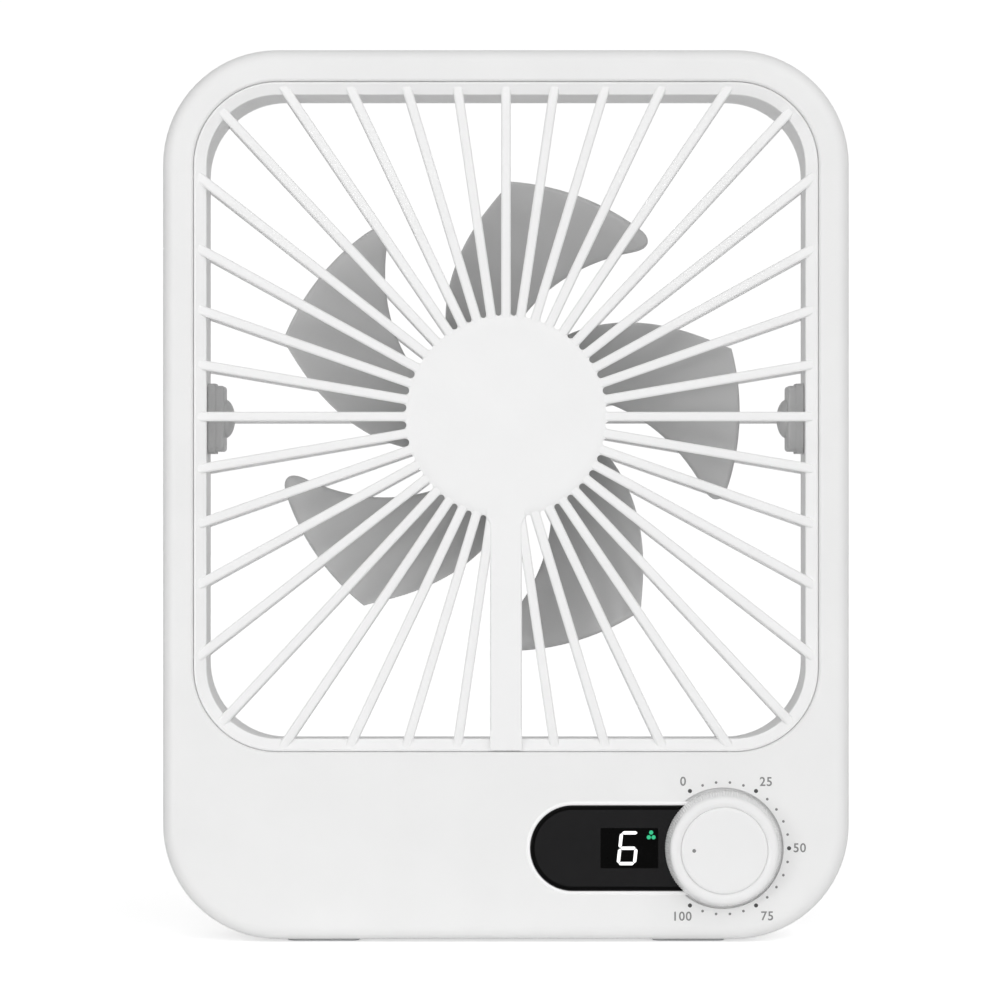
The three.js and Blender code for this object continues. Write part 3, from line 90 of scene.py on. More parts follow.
PIVOT = {joint["name"]: Vector(joint["pos_m"]) / MM for joint in frame["joints"]}

# ---- sizes

# the case, from the frame
FRONT = low("front_housing", Y)
DEPTH = back_of("rear_grille")
HALF = high("front_housing", X)
TOP = high("front_housing", Z)
BOTTOM = low("front_housing", Z)
PARTING = back_of("front_housing")
CORNER_R = 25.0
EDGE_R = 3.2
REAR_EDGE_R = 2.4
SEAM_EDGE = 0.35
WALL = 2.0
PANEL = 2.6
GAP = 0.3
SEAM = 0.02  # what is left open between two mouldings that meet in view

# the window, its rim and the duct behind it
RIM_WIDTH = 2.8
RIM_OVERHANG = 1.1
RIM_FRONT = 0.7
RIM_BACK = 3.0
RIM_SEAT = 3.3
DUCT_WALL = 2.6
DRAFT = 0.45
OPEN_HALF = high("front_grille", X) - RIM_WIDTH
OPEN_TOP = high("front_grille", Z) - RIM_WIDTH
OPEN_BOTTOM = low("front_grille", Z) + RIM_WIDTH
OPENING_R = 15.5
COLLAR = 2.0  # behind the rim's seat, around the window
COLLAR_BACK = 6.0
FAN_Z = PIVOT["fan_spin"].z
OPEN_RISE = (OPEN_TOP - OPEN_BOTTOM) / 2

# grilles
SPOKES = 40
SPOKE_WIDTH = 2.1
SPOKE_FRONT = 0.3
SPOKE_BACK = 2.8
SPOKE_EDGE = 0.55
SPOKE_ROOT = 3.0  # how far a spoke runs into the disc
SPOKE_DIP = 1.0
DIP_RUN = 3.2
DISC_R = 21.9
DISC_THICKNESS = 2.4
SKIRT_BACK = 5.0
SKIRT_WALL = 1.9
STRUT_WIDTH = 7.0
STRUT_DEPTH = 6.6
STRUT_WALL = 1.2
STRUT_EDGE = 0.6
STRUT_FLARE = 0.9  # at each side, where it meets the disc
STRUT_FLARE_RUN = 2.4
CABLE_SLOT_HALF = 2.0
REAR_DISC_R = 19.5
REAR_SPOKE_WIDTH = 1.8
REAR_SPOKE_ROOT = 2.0
REAR_DISC_GROOVE = ((0, 13.4), (0.35, 13.0), (0.35, 12.2), (0, 11.8))  # (how deep, radius)
REAR_SPOKE_FRONT = front_of("rear_grille")
REAR_SPOKE_BACK = DEPTH - 0.4
COVER_BELOW = 2.0  # thickness of the rear plate's closed lower part

# the rear pod
POD_HALF = high("rear_grille", X)
POD_TOP = high("rear_grille", Z)
POD_BOTTOM = low("rear_grille", Z)
POD_R = 19.5
POD_LOWER_R = 12.5
POD_WALL = 3.0
STEP = 20.0
HEEL_TOP = 10.8

# the fan wheel
FAN_R = 52.0
BLADES = 5
BLADE_PHASE = 17.0
BLADE_LEAD = 41.0  # degrees the leading edge turns from hub to tip
BLADE_TRAIL = 44.0  # and the trailing edge
BLADE_FRONT = 9.7
BLADE_REAR = 19.0
BLADE_THICKNESS = 1.7
BLADE_TIP_R = 5.2
HUB_R = 18.3
HUB_FRONT = front_of("rotor_yoke")
HUB_REAR = 19.8
HUB_WALL = 2.0
HUB_PLATE = 2.3

# knob and dial
KNOB_X = PIVOT["knob_turn"].x
KNOB_Z = PIVOT["knob_turn"].z
KNOB_R = high("knob_skirt", X) - KNOB_X
KNOB_TOP = front_of("knob_skirt")
KNOB_BASE = back_of("knob_skirt")
CAP_R = high("knob_cap", X) - KNOB_X
CAP_TOP = front_of("knob_cap")
CAP_FLOOR = back_of("knob_cap")
KNURLS = 132
KNURL_DEPTH = 0.16
KNOB_TAPER = 0.75
KNOB_ROOM = 0.45
KNOB_RECESS = 0.7
KNOB_HOLE_R = 4.0
DIAL_R = 14.4
DIAL_STEP = 12  # degrees
DIAL_END = 120
LABEL_SIZE = 2.75
# text, degrees and radius of the dial's numbers
LABELS = [("0", 121, 16.9), ("25", 57, 17.2), ("50", 0, 16.7), ("75", -57, 17.7), ("100", -121, 17.4)]
PRINT = 0.03  # thickness of what is printed on the front

# display
LENS_LEFT = low("display_lens", X)
LENS_RIGHT = high("display_lens", X)
LENS_HALF = (high("display_lens", Z) - low("display_lens", Z)) / 2
LENS_FACE = front_of("display_lens")
LENS_BACK = back_of("display_lens")
PRINTED_FACE = LENS_FACE - 0.02  # of the window and what lights up in it
LENS_BORDER = 0.9
LENS_TRIM = 0.85
LENS_SEAT = 1.8
MODULE_ROOM_X = 7.0  # half of the hole for the display module
MODULE_ROOM_Z = 5.2
WINDOW_X = middle("display_module", X)
WINDOW_W = 12.6
WINDOW_H = 8.8
DIGIT_W = 3.55
DIGIT_H = 6.7
DIGIT_STROKE = 0.72
DIGIT_SLANT = 0.11
DIGIT_X = -0.3  # from the window's middle
ICON_X = 4.75
ICON_Z = 2.8
ICON_R = 0.46

# stand and hinges
HINGE_DEPTH = PIVOT["stand_swing"].y - FRONT
HINGE_Z = PIVOT["stand_swing"].z
ARM_OUT = high("stand_frame", X)
ARM_WIDTH = 4.7
ARM_NEAR = front_of("stand_frame")
ARM_FAR = back_of("stand_frame")
ARM_EDGE = 1.1
STAND_R = 18.0
BAR_BOTTOM = low("stand_frame", Z)
BAR_HEIGHT = 10.0
PIN_R = 2.5
PIN_HEAD_R = 3.6
PIN_HEAD_DEEP = 1.7
WASHER_ROOM_R = 5.0
WASHER_ROOM = 0.8
BRACKET_FLANGE = 1.25
BRACKET_SLIM = 0.8  # the bracket's rounded face stands back from the CAD one

# screws, feet and pads
HOUSING_SCREWS = [f"housing_screw_{i + 1}" for i in range(3)]
COVER_SCREWS = [f"cover_screw_{i + 1}" for i in range(2)]
BOARD_SCREWS = [f"board_screw_{i + 1}" for i in range(3)]
MOTOR_SCREWS = [f"motor_screw_{i + 1}" for i in range(2)]
FEET = [f"foot_{end}_{side}" for end in ("front", "rear") for side in ("left", "right")]
PADS = ["stand_pad_left", "stand_pad_right"]
SCREW_HEAD = 1.3
SCREW_HEAD_R = 2.2
SCREW_R = 1.1
BOSS_R = 2.7
SCREW_ROOM_R = 1.4  # of the hole a screw goes through
HEAD_ROOM_R = 2.5  # of the hole its head sinks into
SLOT_REACH = 1.25  # of the head's cross
SLOT_HALF = 0.24
SLOT_DEEP = 0.75
MOTOR_POST_R = 2.1
MOTOR_SCREW_ROOM_R = 1.2
LIGHT_ROOM_R = 1.4
RIB_PITCH = 2.2  # of the grooves under feet and pads
RIB_GROOVE = 0.7

# how finely curves are divided
CORNER_STEPS = 18
ROUND_STEPS = 96
SMALL_STEPS = 40

# surrounding light, from 0 up, and how much it gains towards the right and the top
LIGHT_FRONT = 1.31
LIGHT_SIDE = 0.15
LIGHT_BEHIND = 0.62
LIGHT_TILT = 0.2
BACKDROP = 1.03
FLOOR_SIZE = 6.0  # metres, from its middle to each edge
FLOOR_GLOW = 0.08
FLOOR_GLOW_SEEN = 0.45  # what the camera sees on top of it

# camera, in metres
CAMERA_X = -0.0013
CAMERA_Z = 0.0966
CAMERA_DISTANCE = 0.85
CAMERA_LENS = 140.4

# ---- flat shapes


def circle(x, z, radius, steps=ROUND_STEPS):
    turns = [2 * pi * i / steps for i in range(steps)]
    return [(x + radius * cos(a), z + radius * sin(a)) for a in turns]


def arc(x, z, radius, start, turn=90, steps=CORNER_STEPS):
    turns = [radians(start + turn * i / steps) for i in range(steps + 1)]
    return [(x + radius * cos(a), z + radius * sin(a)) for a in turns]


def rounded(x0, x1, z0, z1, radius, lower=None, steps=CORNER_STEPS):
    """A rectangle with round corners; the lower ones may have a radius of their own."""
    lower = radius if lower is None else lower
    corners = [
        (x1 - lower, z0 + lower, lower, -90),
        (x1 - radius, z1 - radius, radius, 0),
        (x0 + radius, z1 - radius, radius, 90),
        (x0 + lower, z0 + lower, lower, 180),
    ]
    return [point for x, z, r, start in corners for point in arc(x, z, r, start, steps=steps)]


def outline(grow=0.0):
    return rounded(-HALF - grow, HALF + grow, BOTTOM - grow, TOP + grow, CORNER_R + grow)


def opening(grow=0.0):
    x = OPEN_HALF + grow
    return rounded(-x, x, OPEN_BOTTOM - grow, OPEN_TOP + grow, OPENING_R + grow)


def duct(grow=0.0):
    return opening(RIM_OVERHANG + grow)


def flared_duct(near, far):
    """A cutter for the duct's rear half, which widens a little towards the back."""
    draft = [(depth, duct(DRAFT * max(0, depth - PARTING) / (DEPTH - PARTING))) for depth in (near, far)]
    return loft("duct", draft)


def pod(grow=0.0):
    x = POD_HALF + grow
    return rounded(-x, x, POD_BOTTOM - grow, POD_TOP + grow, POD_R + grow, POD_LOWER_R + grow)


def window(half_x, half_z, radius):
    """A rectangle around the middle of the display's window."""
    return rounded(WINDOW_X - half_x, WINDOW_X + half_x, KNOB_Z - half_z, KNOB_Z + half_z, radius, steps=4)


def lens(grow=0.0):
    """The display's window: a pill whose square right end is under the knob."""
    half = LENS_HALF + grow
    x = LENS_LEFT + LENS_HALF
    turns = [pi / 2 + pi * i / ROUND_STEPS for i in range(ROUND_STEPS + 1)]
    points = [(x + half * cos(a), KNOB_Z + half * sin(a)) for a in turns]
    return points + [(LENS_RIGHT + grow, KNOB_Z - half), (LENS_RIGHT + grow, KNOB_Z + half)]


def fillet(radius, steps=7):
    """(depth, inset) around a rounded edge, from its face to its side."""
    turns = [pi / 2 * i / steps for i in range(steps + 1)]
    return [(radius * (1 - cos(t)), radius * (1 - sin(t))) for t in turns]


# ---- meshes


def link(name, data):
    """A new object in the scene, with a mesh, light or camera."""
    piece = bpy.data.objects.new(name, data)
    bpy.context.scene.collection.objects.link(piece)
    return piece


def mesh_from(name, bm):
    mesh = bpy.data.meshes.new(name)
    bm.to_mesh(mesh)
    bm.free()
    return mesh


def skin(name, rings, closed=False):
    """A closed mesh through rings of points that have the same number of points.

    Its two ends have caps, or the last ring meets the first one again if it is closed.
    """
    bm = bmesh.new()
    rows = [[bm.verts.new(Vector(point) * MM) for point in points] for points in rings]
    for row, after in zip(rows, rows[1:] + rows[:1] if closed else rows[1:]):
        for i, vertex in enumerate(row):
            j = (i + 1) % len(row)
            bm.faces.new((vertex, row[j], after[j], after[i]))
    if not closed:
        bm.faces.new(rows[0])
        bm.faces.new(rows[-1])
    bmesh.ops.recalc_face_normals(bm, faces=bm.faces)
    return link(name, mesh_from(name, bm))


def loft(name, stations):
    """A solid through flat loops in X and Z, each at its depth."""
    return skin(name, [[(x, FRONT + depth, z) for x, z in loop] for depth, loop in stations])


def ring(name, shape, profile):
    """A frame whose section, (depth, offset from the shape), runs along a shape."""
    return skin(
        name, [[(x, FRONT + depth, z) for x, z in shape(grow)] for depth, grow in profile], closed=True
    )


def loft_x(name, stations):
    """A solid through flat loops in depth and Z, each at its X."""
    return skin(name, [[(x, FRONT + depth, z) for depth, z in loop] for x, loop in stations])


def loft_z(name, stations):
    """A solid through flat loops in X and depth, each at its Z."""
    return skin(name, [[(x, FRONT + depth, z) for x, depth in loop] for z, loop in stations])


def rounded_ends(shape, near, far, front=0.0, back=0.0):
    """The stations of a solid whose front and back edges are rounded."""
    start = [(near + d, shape(-inset)) for d, inset in fillet(front)] if front else [(near, shape())]
    end = [(far - d, shape(-inset)) for d, inset in fillet(back)] if back else [(far, shape())]
    return start + end[::-1]


def solid(name, shape, near, far, front=0.0, back=0.0):
    return loft(name, rounded_ends(shape, near, far, front, back))


def cutter(shape, far, flare, near=0.0):
    """A cutter that leaves a rounded edge around the hole's mouth, which faces the front."""
    mouth = [(near + d, shape(inset)) for d, inset in fillet(flare)]
    return loft("cutter", [(near - 1, shape(flare)), *mouth, (far, shape())])


def rear_cutter(shape, near, flare, far):
    """The same for a hole whose mouth faces the back."""
    mouth = [(far - d, shape(inset)) for d, inset in fillet(flare)]
    return loft("cutter", [(near, shape()), *mouth[::-1], (far + 1, shape(flare))])


def box(x0, x1, near, far, z0, z1):
    return loft("box", [(d, [(x0, z0), (x1, z0), (x1, z1), (x0, z1)]) for d in (near, far)])


def rod(x, z, radius, near, far, edge=0.0, steps=SMALL_STEPS):
    return solid("rod", lambda grow=0.0: circle(x, z, radius + grow, steps), near, far, edge)


def rod_x(x0, x1, depth, z, radius, steps=SMALL_STEPS):
    return loft_x("rod", [(x, circle(depth, z, radius, steps)) for x in (x0, x1)])


def turned(name, x, z, profile, steps=ROUND_STEPS):
    """A solid of revolution about an axis to the back, through (depth, radius)."""
    return loft(name, [(depth, circle(x, z, r, steps)) for depth, r in profile])


def turned_x(name, depth, z, profile, side=1, steps=SMALL_STEPS):
    """The same about an axis to the side, through (distance from the middle, radius)."""
    return loft_x(name, [(side * x, circle(depth, z, r, steps)) for x, r in profile])


def combine(target, operation, others):
    """Joins or cuts target, and takes the other objects away."""
    for other in others:
        modifier = target.modifiers.new("combine", "BOOLEAN")
        modifier.operation = operation
        modifier.solver = "MANIFOLD"
        modifier.object = other
    graph = bpy.context.evaluated_depsgraph_get()
    mesh = bpy.data.meshes.new_from_object(target.evaluated_get(graph))
    target.modifiers.clear()
    target.data = mesh
    for other in others:
        bpy.data.objects.remove(other)
    return target


def join(target, others):
    return combine(target, "UNION", others)


def cut(target, others):
    return combine(target, "DIFFERENCE", others)


def merged(name, pieces):
    """Several separate solids as one mesh."""
    bm = bmesh.new()
    for piece in pieces:
        bm.from_mesh(piece.data)
        bpy.data.objects.remove(piece)
    return link(name, mesh_from(name, bm))


def finish(piece, name, body, slot, replaces=(), look=None, sharp=32):
    """Shades a finished piece, gives it its slot's look or its own and hangs it on its body."""
    piece.name = name
    mesh = piece.data
    mesh.name = name
    mesh.materials.clear()
    mesh.materials.append(look or LOOKS[slot])
    mesh.shade_smooth()
    mesh.set_sharp_from_angle(angle=radians(sharp))
    weights = piece.modifiers.new("normals", "WEIGHTED_NORMAL")
    weights.keep_sharp = True
    weights.weight = 80
    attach(piece, body)
    if replaces:
        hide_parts(*replaces)
    return piece


# ---- looks


class Tree:
    """Adds nodes to a material or a world."""

    def __init__(self, owner):
        owner.use_nodes = True
        self.tree = owner.node_tree
        self.tree.nodes.clear()

    def add(self, kind, settings=None, **inputs):
        node = self.tree.nodes.new(kind)
        for name, value in (settings or {}).items():
            setattr(node, name, value)
        for name, value in inputs.items():
            socket = node.inputs[name.replace("_", " ")]
            if isinstance(value, bpy.types.NodeSocket):
                self.tree.links.new(value, socket)
            else:
                socket.default_value = value
        return node

    def noise(self, size, detail=3.0, stretch=(1, 1, 1)):
        """Noise whose features are about size millimetres."""
        place = self.add("ShaderNodeTexCoord").outputs["Object"]
        mapping = self.add("ShaderNodeMapping", Vector=place, Scale=stretch)
        texture = self.add(
            "ShaderNodeTexNoise",
            Vector=mapping.outputs[0],
            Scale=1 / (size * MM),
            Detail=detail,
        )
        return texture.outputs[0]

    def ramp(self, value, start, end, at_start, at_end):
        node = self.add("ShaderNodeMapRange", Value=value, From_Min=start, From_Max=end)
        node.inputs["To Min"].default_value = at_start
        node.inputs["To Max"].default_value = at_end
        return node.outputs[0]

    def math(self, operation, *values):
        node = self.add("ShaderNodeMath", {"operation": operation})
        for socket, value in zip(node.inputs, values):
            if isinstance(value, bpy.types.NodeSocket):
                self.tree.links.new(value, socket)
            else:
                socket.default_value = value
        return node.outputs[0]

    def tones(self, factor, color, tone):
        """A colour that goes a little darker and lighter with factor."""
        ramp = self.add("ShaderNodeValToRGB", Fac=factor)
        for stop, place, shift in zip(ramp.color_ramp.elements, (0.3, 0.7), (-tone, tone)):
            stop.position = place
            stop.color = [min(1, c * (1 + shift)) for c in color] + [1]
        return ramp.outputs[0]


LOOKS = {}


def look(
    name, color, roughness, metal=0.0, tone=0.012, patch=18.0, grain=0.25, relief=0.1, spread=0.04,
    stretch=(1, 1, 1), specular=0.5, coat=0.0, glow=None, bands=None,
):
    """Moulded plastic, metal or rubber: uneven tone, uneven gloss and a fine surface grain.

    grain is the size of the surface's grain, patch the size of its lighter and darker areas;
    bands is the spacing of ribs such as a coil's turns.
    """
    material = bpy.data.materials.new(name)
    tree = Tree(material)
    height = tree.noise(grain, 3.0, stretch)
    if bands:
        place = tree.add("ShaderNodeTexCoord").outputs["Object"]
        wave = tree.add("ShaderNodeTexWave", Vector=place, Scale=0.32 / (bands * MM), Distortion=0.6)
        height = wave.outputs[1]
    bump = tree.add("ShaderNodeBump", Height=height, Strength=relief, Distance=grain * MM)
    shader = tree.add(
        "ShaderNodeBsdfPrincipled",
        Base_Color=tree.tones(tree.noise(patch, 2.0), color, tone),
        Roughness=tree.ramp(
            tree.noise(4.0, 4.0, stretch), 0.3, 0.7, roughness - spread, roughness + spread
        ),
        Normal=bump.outputs[0],
        Metallic=metal,
        Specular_IOR_Level=specular,
        Coat_Weight=coat,
    )
    shader.inputs["Coat Roughness"].default_value = 0.08
    if glow:
        shader.inputs["Emission Color"].default_value = (*glow[0], 1)
        shader.inputs["Emission Strength"].default_value = glow[1]
    tree.add("ShaderNodeOutputMaterial", Surface=shader.outputs[0])
    LOOKS[name] = material
    return material


look("case_white", (0.89, 0.89, 0.888), 0.42, relief=0.06)
look("grille_white", (0.93, 0.93, 0.93), 0.36, relief=0.03, grain=1.5)
# the blades are white plastic; this look paints them a mid grey as painted shade from inside the duct
look("blade_white", (0.58, 0.58, 0.58), 0.42, relief=0.08, tone=0.02)
look("knob_white", (0.9, 0.9, 0.9), 0.3, relief=0.04, grain=0.15, tone=0.004, spread=0.015)
look("lens_black", (0.0065, 0.0065, 0.007), 0.16, specular=0.2, relief=0.01)
look("dark_plastic", (0.02, 0.02, 0.022), 0.5, grain=0.3, relief=0.2)
look("rubber_grey", (0.6, 0.61, 0.62), 0.75, grain=0.4, relief=0.35, tone=0.06)
look("board_green", (0.02, 0.11, 0.06), 0.4, patch=1.6, tone=0.25, bands=1.3)
look("battery_foil", (0.16, 0.27, 0.42), 0.35, grain=2.0, relief=0.3, tone=0.08)
look("cable_red", (0.35, 0.03, 0.025), 0.5, grain=0.2, relief=0.2, tone=0.05)
look("steel", (0.58, 0.59, 0.61), 0.3, metal=1.0, stretch=(1, 12, 1), tone=0.05)
look("brass", (0.62, 0.44, 0.18), 0.32, metal=1.0, stretch=(1, 12, 1), tone=0.06)
look("copper", (0.62, 0.27, 0.12), 0.34, metal=1.0, bands=0.35, relief=0.8, tone=0.08)
look("magnet", (0.06, 0.055, 0.05), 0.7, grain=0.3, relief=0.4, tone=0.1)
look("clear_light", (0.72, 0.8, 0.75), 0.15, coat=0.5, relief=0.05, tone=0.04)
PRINT_DARK = look("print_dark", (0.065, 0.065, 0.065), 0.6, tone=0.1, patch=1.0)
PRINT_GREY = look("print_grey", (0.24, 0.24, 0.24), 0.6, tone=0.06, patch=1.0)
# whiter than the case: this brightness is a painted highlight along the lens's edge
TRIM_PAINTED_HIGHLIGHT = look("trim_painted_highlight", (0.985, 0.985, 0.985), 0.25, relief=0.02, tone=0.004)
BORDER_BLACK = look("border_black", (0.0012, 0.0012, 0.0012), 0.4, specular=0.05, relief=0.05)
WINDOW_BLACK = look("window_black", (0.0015, 0.0015, 0.0015), 0.3, specular=0.04, relief=0.05)
DIGIT_GLOW = look("digit_glow", (0.5, 0.5, 0.5), 0.5, glow=((1, 1, 1), 0.9), tone=0.02)
ICON_GLOW = look("icon_glow", (0.01, 0.12, 0.06), 0.5, glow=((0.01, 0.5, 0.22), 0.9), tone=0.03)

for part in frame["record"]["subparts"]:
    for material_slot in frame["nodes"][part["node"]].material_slots:
        material_slot.material = LOOKS[part["material_slot"]]

# ---- case


def screw_bosses(nodes, near, far, radius=BOSS_R):
    return [rod(middle(n, X), middle(n, Z), radius, near, far) for n in nodes]


def room(node):
    """A node's sides and depths, with a gap all around."""
    return low(node, X) - GAP, high(node, X) + GAP, front_of(node) - GAP, back_of(node) + GAP


def head_recess(node, near, edge, far):
    """A cutter for the recess of a screw's head, which is open to the back."""
    x, z = middle(node, X), middle(node, Z)
    return rear_cutter(lambda g=0.0: circle(x, z, HEAD_ROOM_R + g, SMALL_STEPS), near, edge, far)


def foot_recesses():
    rooms = []
    for node in FEET:
        shape = rounded(*room(node), 2.2, steps=8)
        rooms.append(loft_z("room", [(-1, shape), (high(node, Z) + GAP, shape)]))
    return rooms


def usb_shape(grow=0.0):
    y0, y1 = front_of("usb_shell"), back_of("usb_shell")
    z0, z1 = low("usb_shell", Z), high("usb_shell", Z)
    radius = (y1 - y0) / 2 + grow - 0.01
    return rounded(y0 - grow, y1 + grow, z0 - grow, z1 + grow, radius, steps=10)


def front_housing():
    body = solid("front", outline, 0, PARTING, front=EDGE_R, back=SEAM_EDGE)
    cut(body, [solid("hollow", lambda g=0.0: outline(g - WALL), PANEL, PARTING + 1, front=1.2)])
    inside = [
        solid("duct", lambda g=0.0: duct(g + DUCT_WALL), PANEL / 2, PARTING),
        solid("collar", lambda g=0.0: opening(g + RIM_WIDTH + GAP + COLLAR), PANEL / 2, COLLAR_BACK),
        *screw_bosses(HOUSING_SCREWS, EDGE_R + 0.2, PARTING),
        lip(),
        *screw_bosses(BOARD_SCREWS, PANEL / 2, front_of("main_board") - GAP),
    ]
    join(body, inside)
    light_z, light_depth = middle("charge_light", Z), middle("charge_light", Y) - FRONT
    mouth = [(HALF + 1, usb_shape(1.1)), (HALF, usb_shape(0.9)), (HALF - 0.6, usb_shape(GAP))]
    module = window(MODULE_ROOM_X, MODULE_ROOM_Z, 0.6)
    cut(
        body,
        [
            solid("duct", duct, -1, PARTING + 1),
            cutter(lambda g=0.0: opening(g + RIM_WIDTH + SEAM), RIM_SEAT, 0.7),
            cutter(lambda g=0.0: lens(g + GAP), LENS_SEAT, 0.5),
            loft("window", [(-1, module), (PANEL + 1, module)]),
            rod(KNOB_X, KNOB_Z, KNOB_HOLE_R, -1, PANEL + 1),
            cutter(lambda g=0.0: circle(KNOB_X, KNOB_Z, KNOB_R + KNOB_ROOM + g), KNOB_RECESS, 0.15),
            loft_x("usb", [*mouth, (HALF - WALL - 1, usb_shape(GAP))]),
            rod_x(HALF - WALL - 1, HALF + 1, light_depth, light_z, LIGHT_ROOM_R),
            box(-CABLE_SLOT_HALF, CABLE_SLOT_HALF, RIM_SEAT - 1, STRUT_DEPTH, OPEN_BOTTOM - 8, OPEN_BOTTOM),
            *screw_bosses(HOUSING_SCREWS, PARTING - 9, PARTING + 1, SCREW_ROOM_R),
            *foot_recesses(),
        ],
    )
    finish(body, "front_case", "case", "case_white", ["front_housing"])


def lip():
    """A thin lip on the front case that closes the parting line from inside."""
    profile = [(-1.5, -0.5), (-1.5, 0.3), (-0.3, 0.3), (-0.3, -0.08), (1.2, -0.08), (1.2, -0.5)]
    return ring("lip", outline, [(PARTING + depth, -WALL + grow) for depth, grow in profile])


def rear_housing():
    near = front_of("rear_housing")
    seat = REAR_SPOKE_FRONT - GAP
    heel_cut = box(-HALF - 5, HALF + 5, 0, DEPTH + 5, HEEL_TOP, TOP + 5)
    heel = cut(solid("heel", outline, near, DEPTH, back=REAR_EDGE_R), [heel_cut])
    band = solid("band", outline, near, STEP, front=SEAM_EDGE, back=1.2)
    below = below_duct()
    band_hollow = solid("hollow", lambda g=0.0: outline(g - WALL), near - 1, STEP - WALL)
    heel_hollow = solid("hollow", lambda g=0.0: outline(g - WALL), near - 1, DEPTH - WALL)
    cut(heel_hollow, [box(-HALF, HALF, 0, DEPTH, HEEL_TOP - WALL, TOP)])
    body = join(band, [solid("pod", pod, near, seat), heel])
    cut(body, [band_hollow, heel_hollow, loft("low", [(near - 1, below), (seat + 1, below)])])
    join(
        body,
        [
            solid("duct", lambda g=0.0: duct(g + DUCT_WALL), near, seat),
            *screw_bosses(HOUSING_SCREWS, near, STEP - 1),
            *screw_bosses(COVER_SCREWS, STEP, seat),
        ],
    )
    cut(
        body,
        [
            flared_duct(near - 1, seat + 1),
            rod_x(-POD_HALF - 1, POD_HALF + 1, HINGE_DEPTH, HINGE_Z, PIN_R + GAP),
            *[head_recess(n, STEP - 1.6, 0.3, STEP) for n in HOUSING_SCREWS],
            *screw_bosses(HOUSING_SCREWS, near - 1, STEP + 1, SCREW_ROOM_R),
            *screw_bosses(COVER_SCREWS, seat - 7, seat + 1, SCREW_ROOM_R),
            *foot_recesses(),
        ],
    )
    finish(body, "rear_case", "case", "case_white", ["rear_housing"])


def below_duct():
    """The hollow of the pod's lower part."""
    side = POD_HALF - POD_WALL
    top = OPEN_BOTTOM - RIM_OVERHANG - DUCT_WALL
    return rounded(-side, side, POD_BOTTOM + WALL, top, 2.0, POD_LOWER_R - WALL)


# ---- grilles


def reach(x, z, half_x, half_z, radius):
    """From a rounded rectangle's middle to its edge, along the unit direction (x, z)."""
    straight = min(half_x / max(abs(x), 1e-6), half_z / max(abs(z), 1e-6))
    corner_x = half_x - radius
    corner_z = half_z - radius
    if abs(x) * straight <= corner_x or abs(z) * straight <= corner_z:
        return straight
    along = abs(x) * corner_x + abs(z) * corner_z
    return along + sqrt(along**2 - corner_x**2 - corner_z**2 + radius**2)


def window_reach(angle, grow):
    half_z = OPEN_RISE + grow
    return reach(cos(angle), sin(angle), OPEN_HALF + grow, half_z, OPENING_R + grow)


def spoke_angle(index):
    """Even steps around the axis, stretched upwards as the window is taller than wide."""
    even = pi / 2 + index * 2 * pi / SPOKES
    return atan2(OPEN_RISE / OPEN_HALF * sin(even), cos(even))


def bar_section(width, near, far, edge):
    """A bar's section as (across, depth), with rounded front edges and a little draft."""
    half = width / 2
    curve = fillet(edge, 4)
    left = [(-half + inset, near + d) for d, inset in curve[::-1]]
    right = [(half - inset, near + d) for d, inset in curve]
    return [(-half * 0.86, far), *left, *right, (half * 0.86, far)]


def spoke(angle, stations):
    """A bar outwards from the fan's axis, through (radius, section)."""
    x, z = cos(angle), sin(angle)
    rings = []
    for r, section in stations:
        rings.append([(x * r - z * a, FRONT + d, FAN_Z + z * r + x * a) for a, d in section])
    return skin("spoke", rings)


def dip(inner, outer, steps=8):
    """A spoke's front face as it bends down onto the rim."""
    points = []
    for i in range(steps + 1):
        share = i / steps
        drop = (1 - cos(pi * share)) / 2
        points.append((inner + (outer - inner) * share, SPOKE_FRONT + (SPOKE_DIP - SPOKE_FRONT) * drop))
    return points


def disc_solid(name, radius, near, far, soft):
    """A flat disc whose face falls away gently at its edge."""
    slope = [(near, radius - 2.2 * soft), (near + 0.1 * soft, radius - soft)]
    slope += [(near + 0.4 * soft, radius), (near + soft, radius + 0.6 * soft), (far, radius + 0.6 * soft)]
    return turned(name, 0, FAN_Z, slope, 2 * ROUND_STEPS)


def slot_ends(radius, near, far, strut):
    """Cutters that round the slots between the spokes at the disc, but not beside the strut."""
    cutters = []
    for i in range(SPOKES):
        if i in (strut - 1, strut):
            continue
        angle = (spoke_angle(i) + spoke_angle(i + 1)) / 2
        if abs(spoke_angle(i) - spoke_angle(i + 1)) > pi:
            angle += pi
        wide = abs(spoke_angle(i + 1) - spoke_angle(i)) % pi
        half = (min(wide, pi - wide) * radius - SPOKE_WIDTH) / 2
        cutters.append(rod(cos(angle) * radius, FAN_Z + sin(angle) * radius, half, near, far, steps=20))
    return cutters


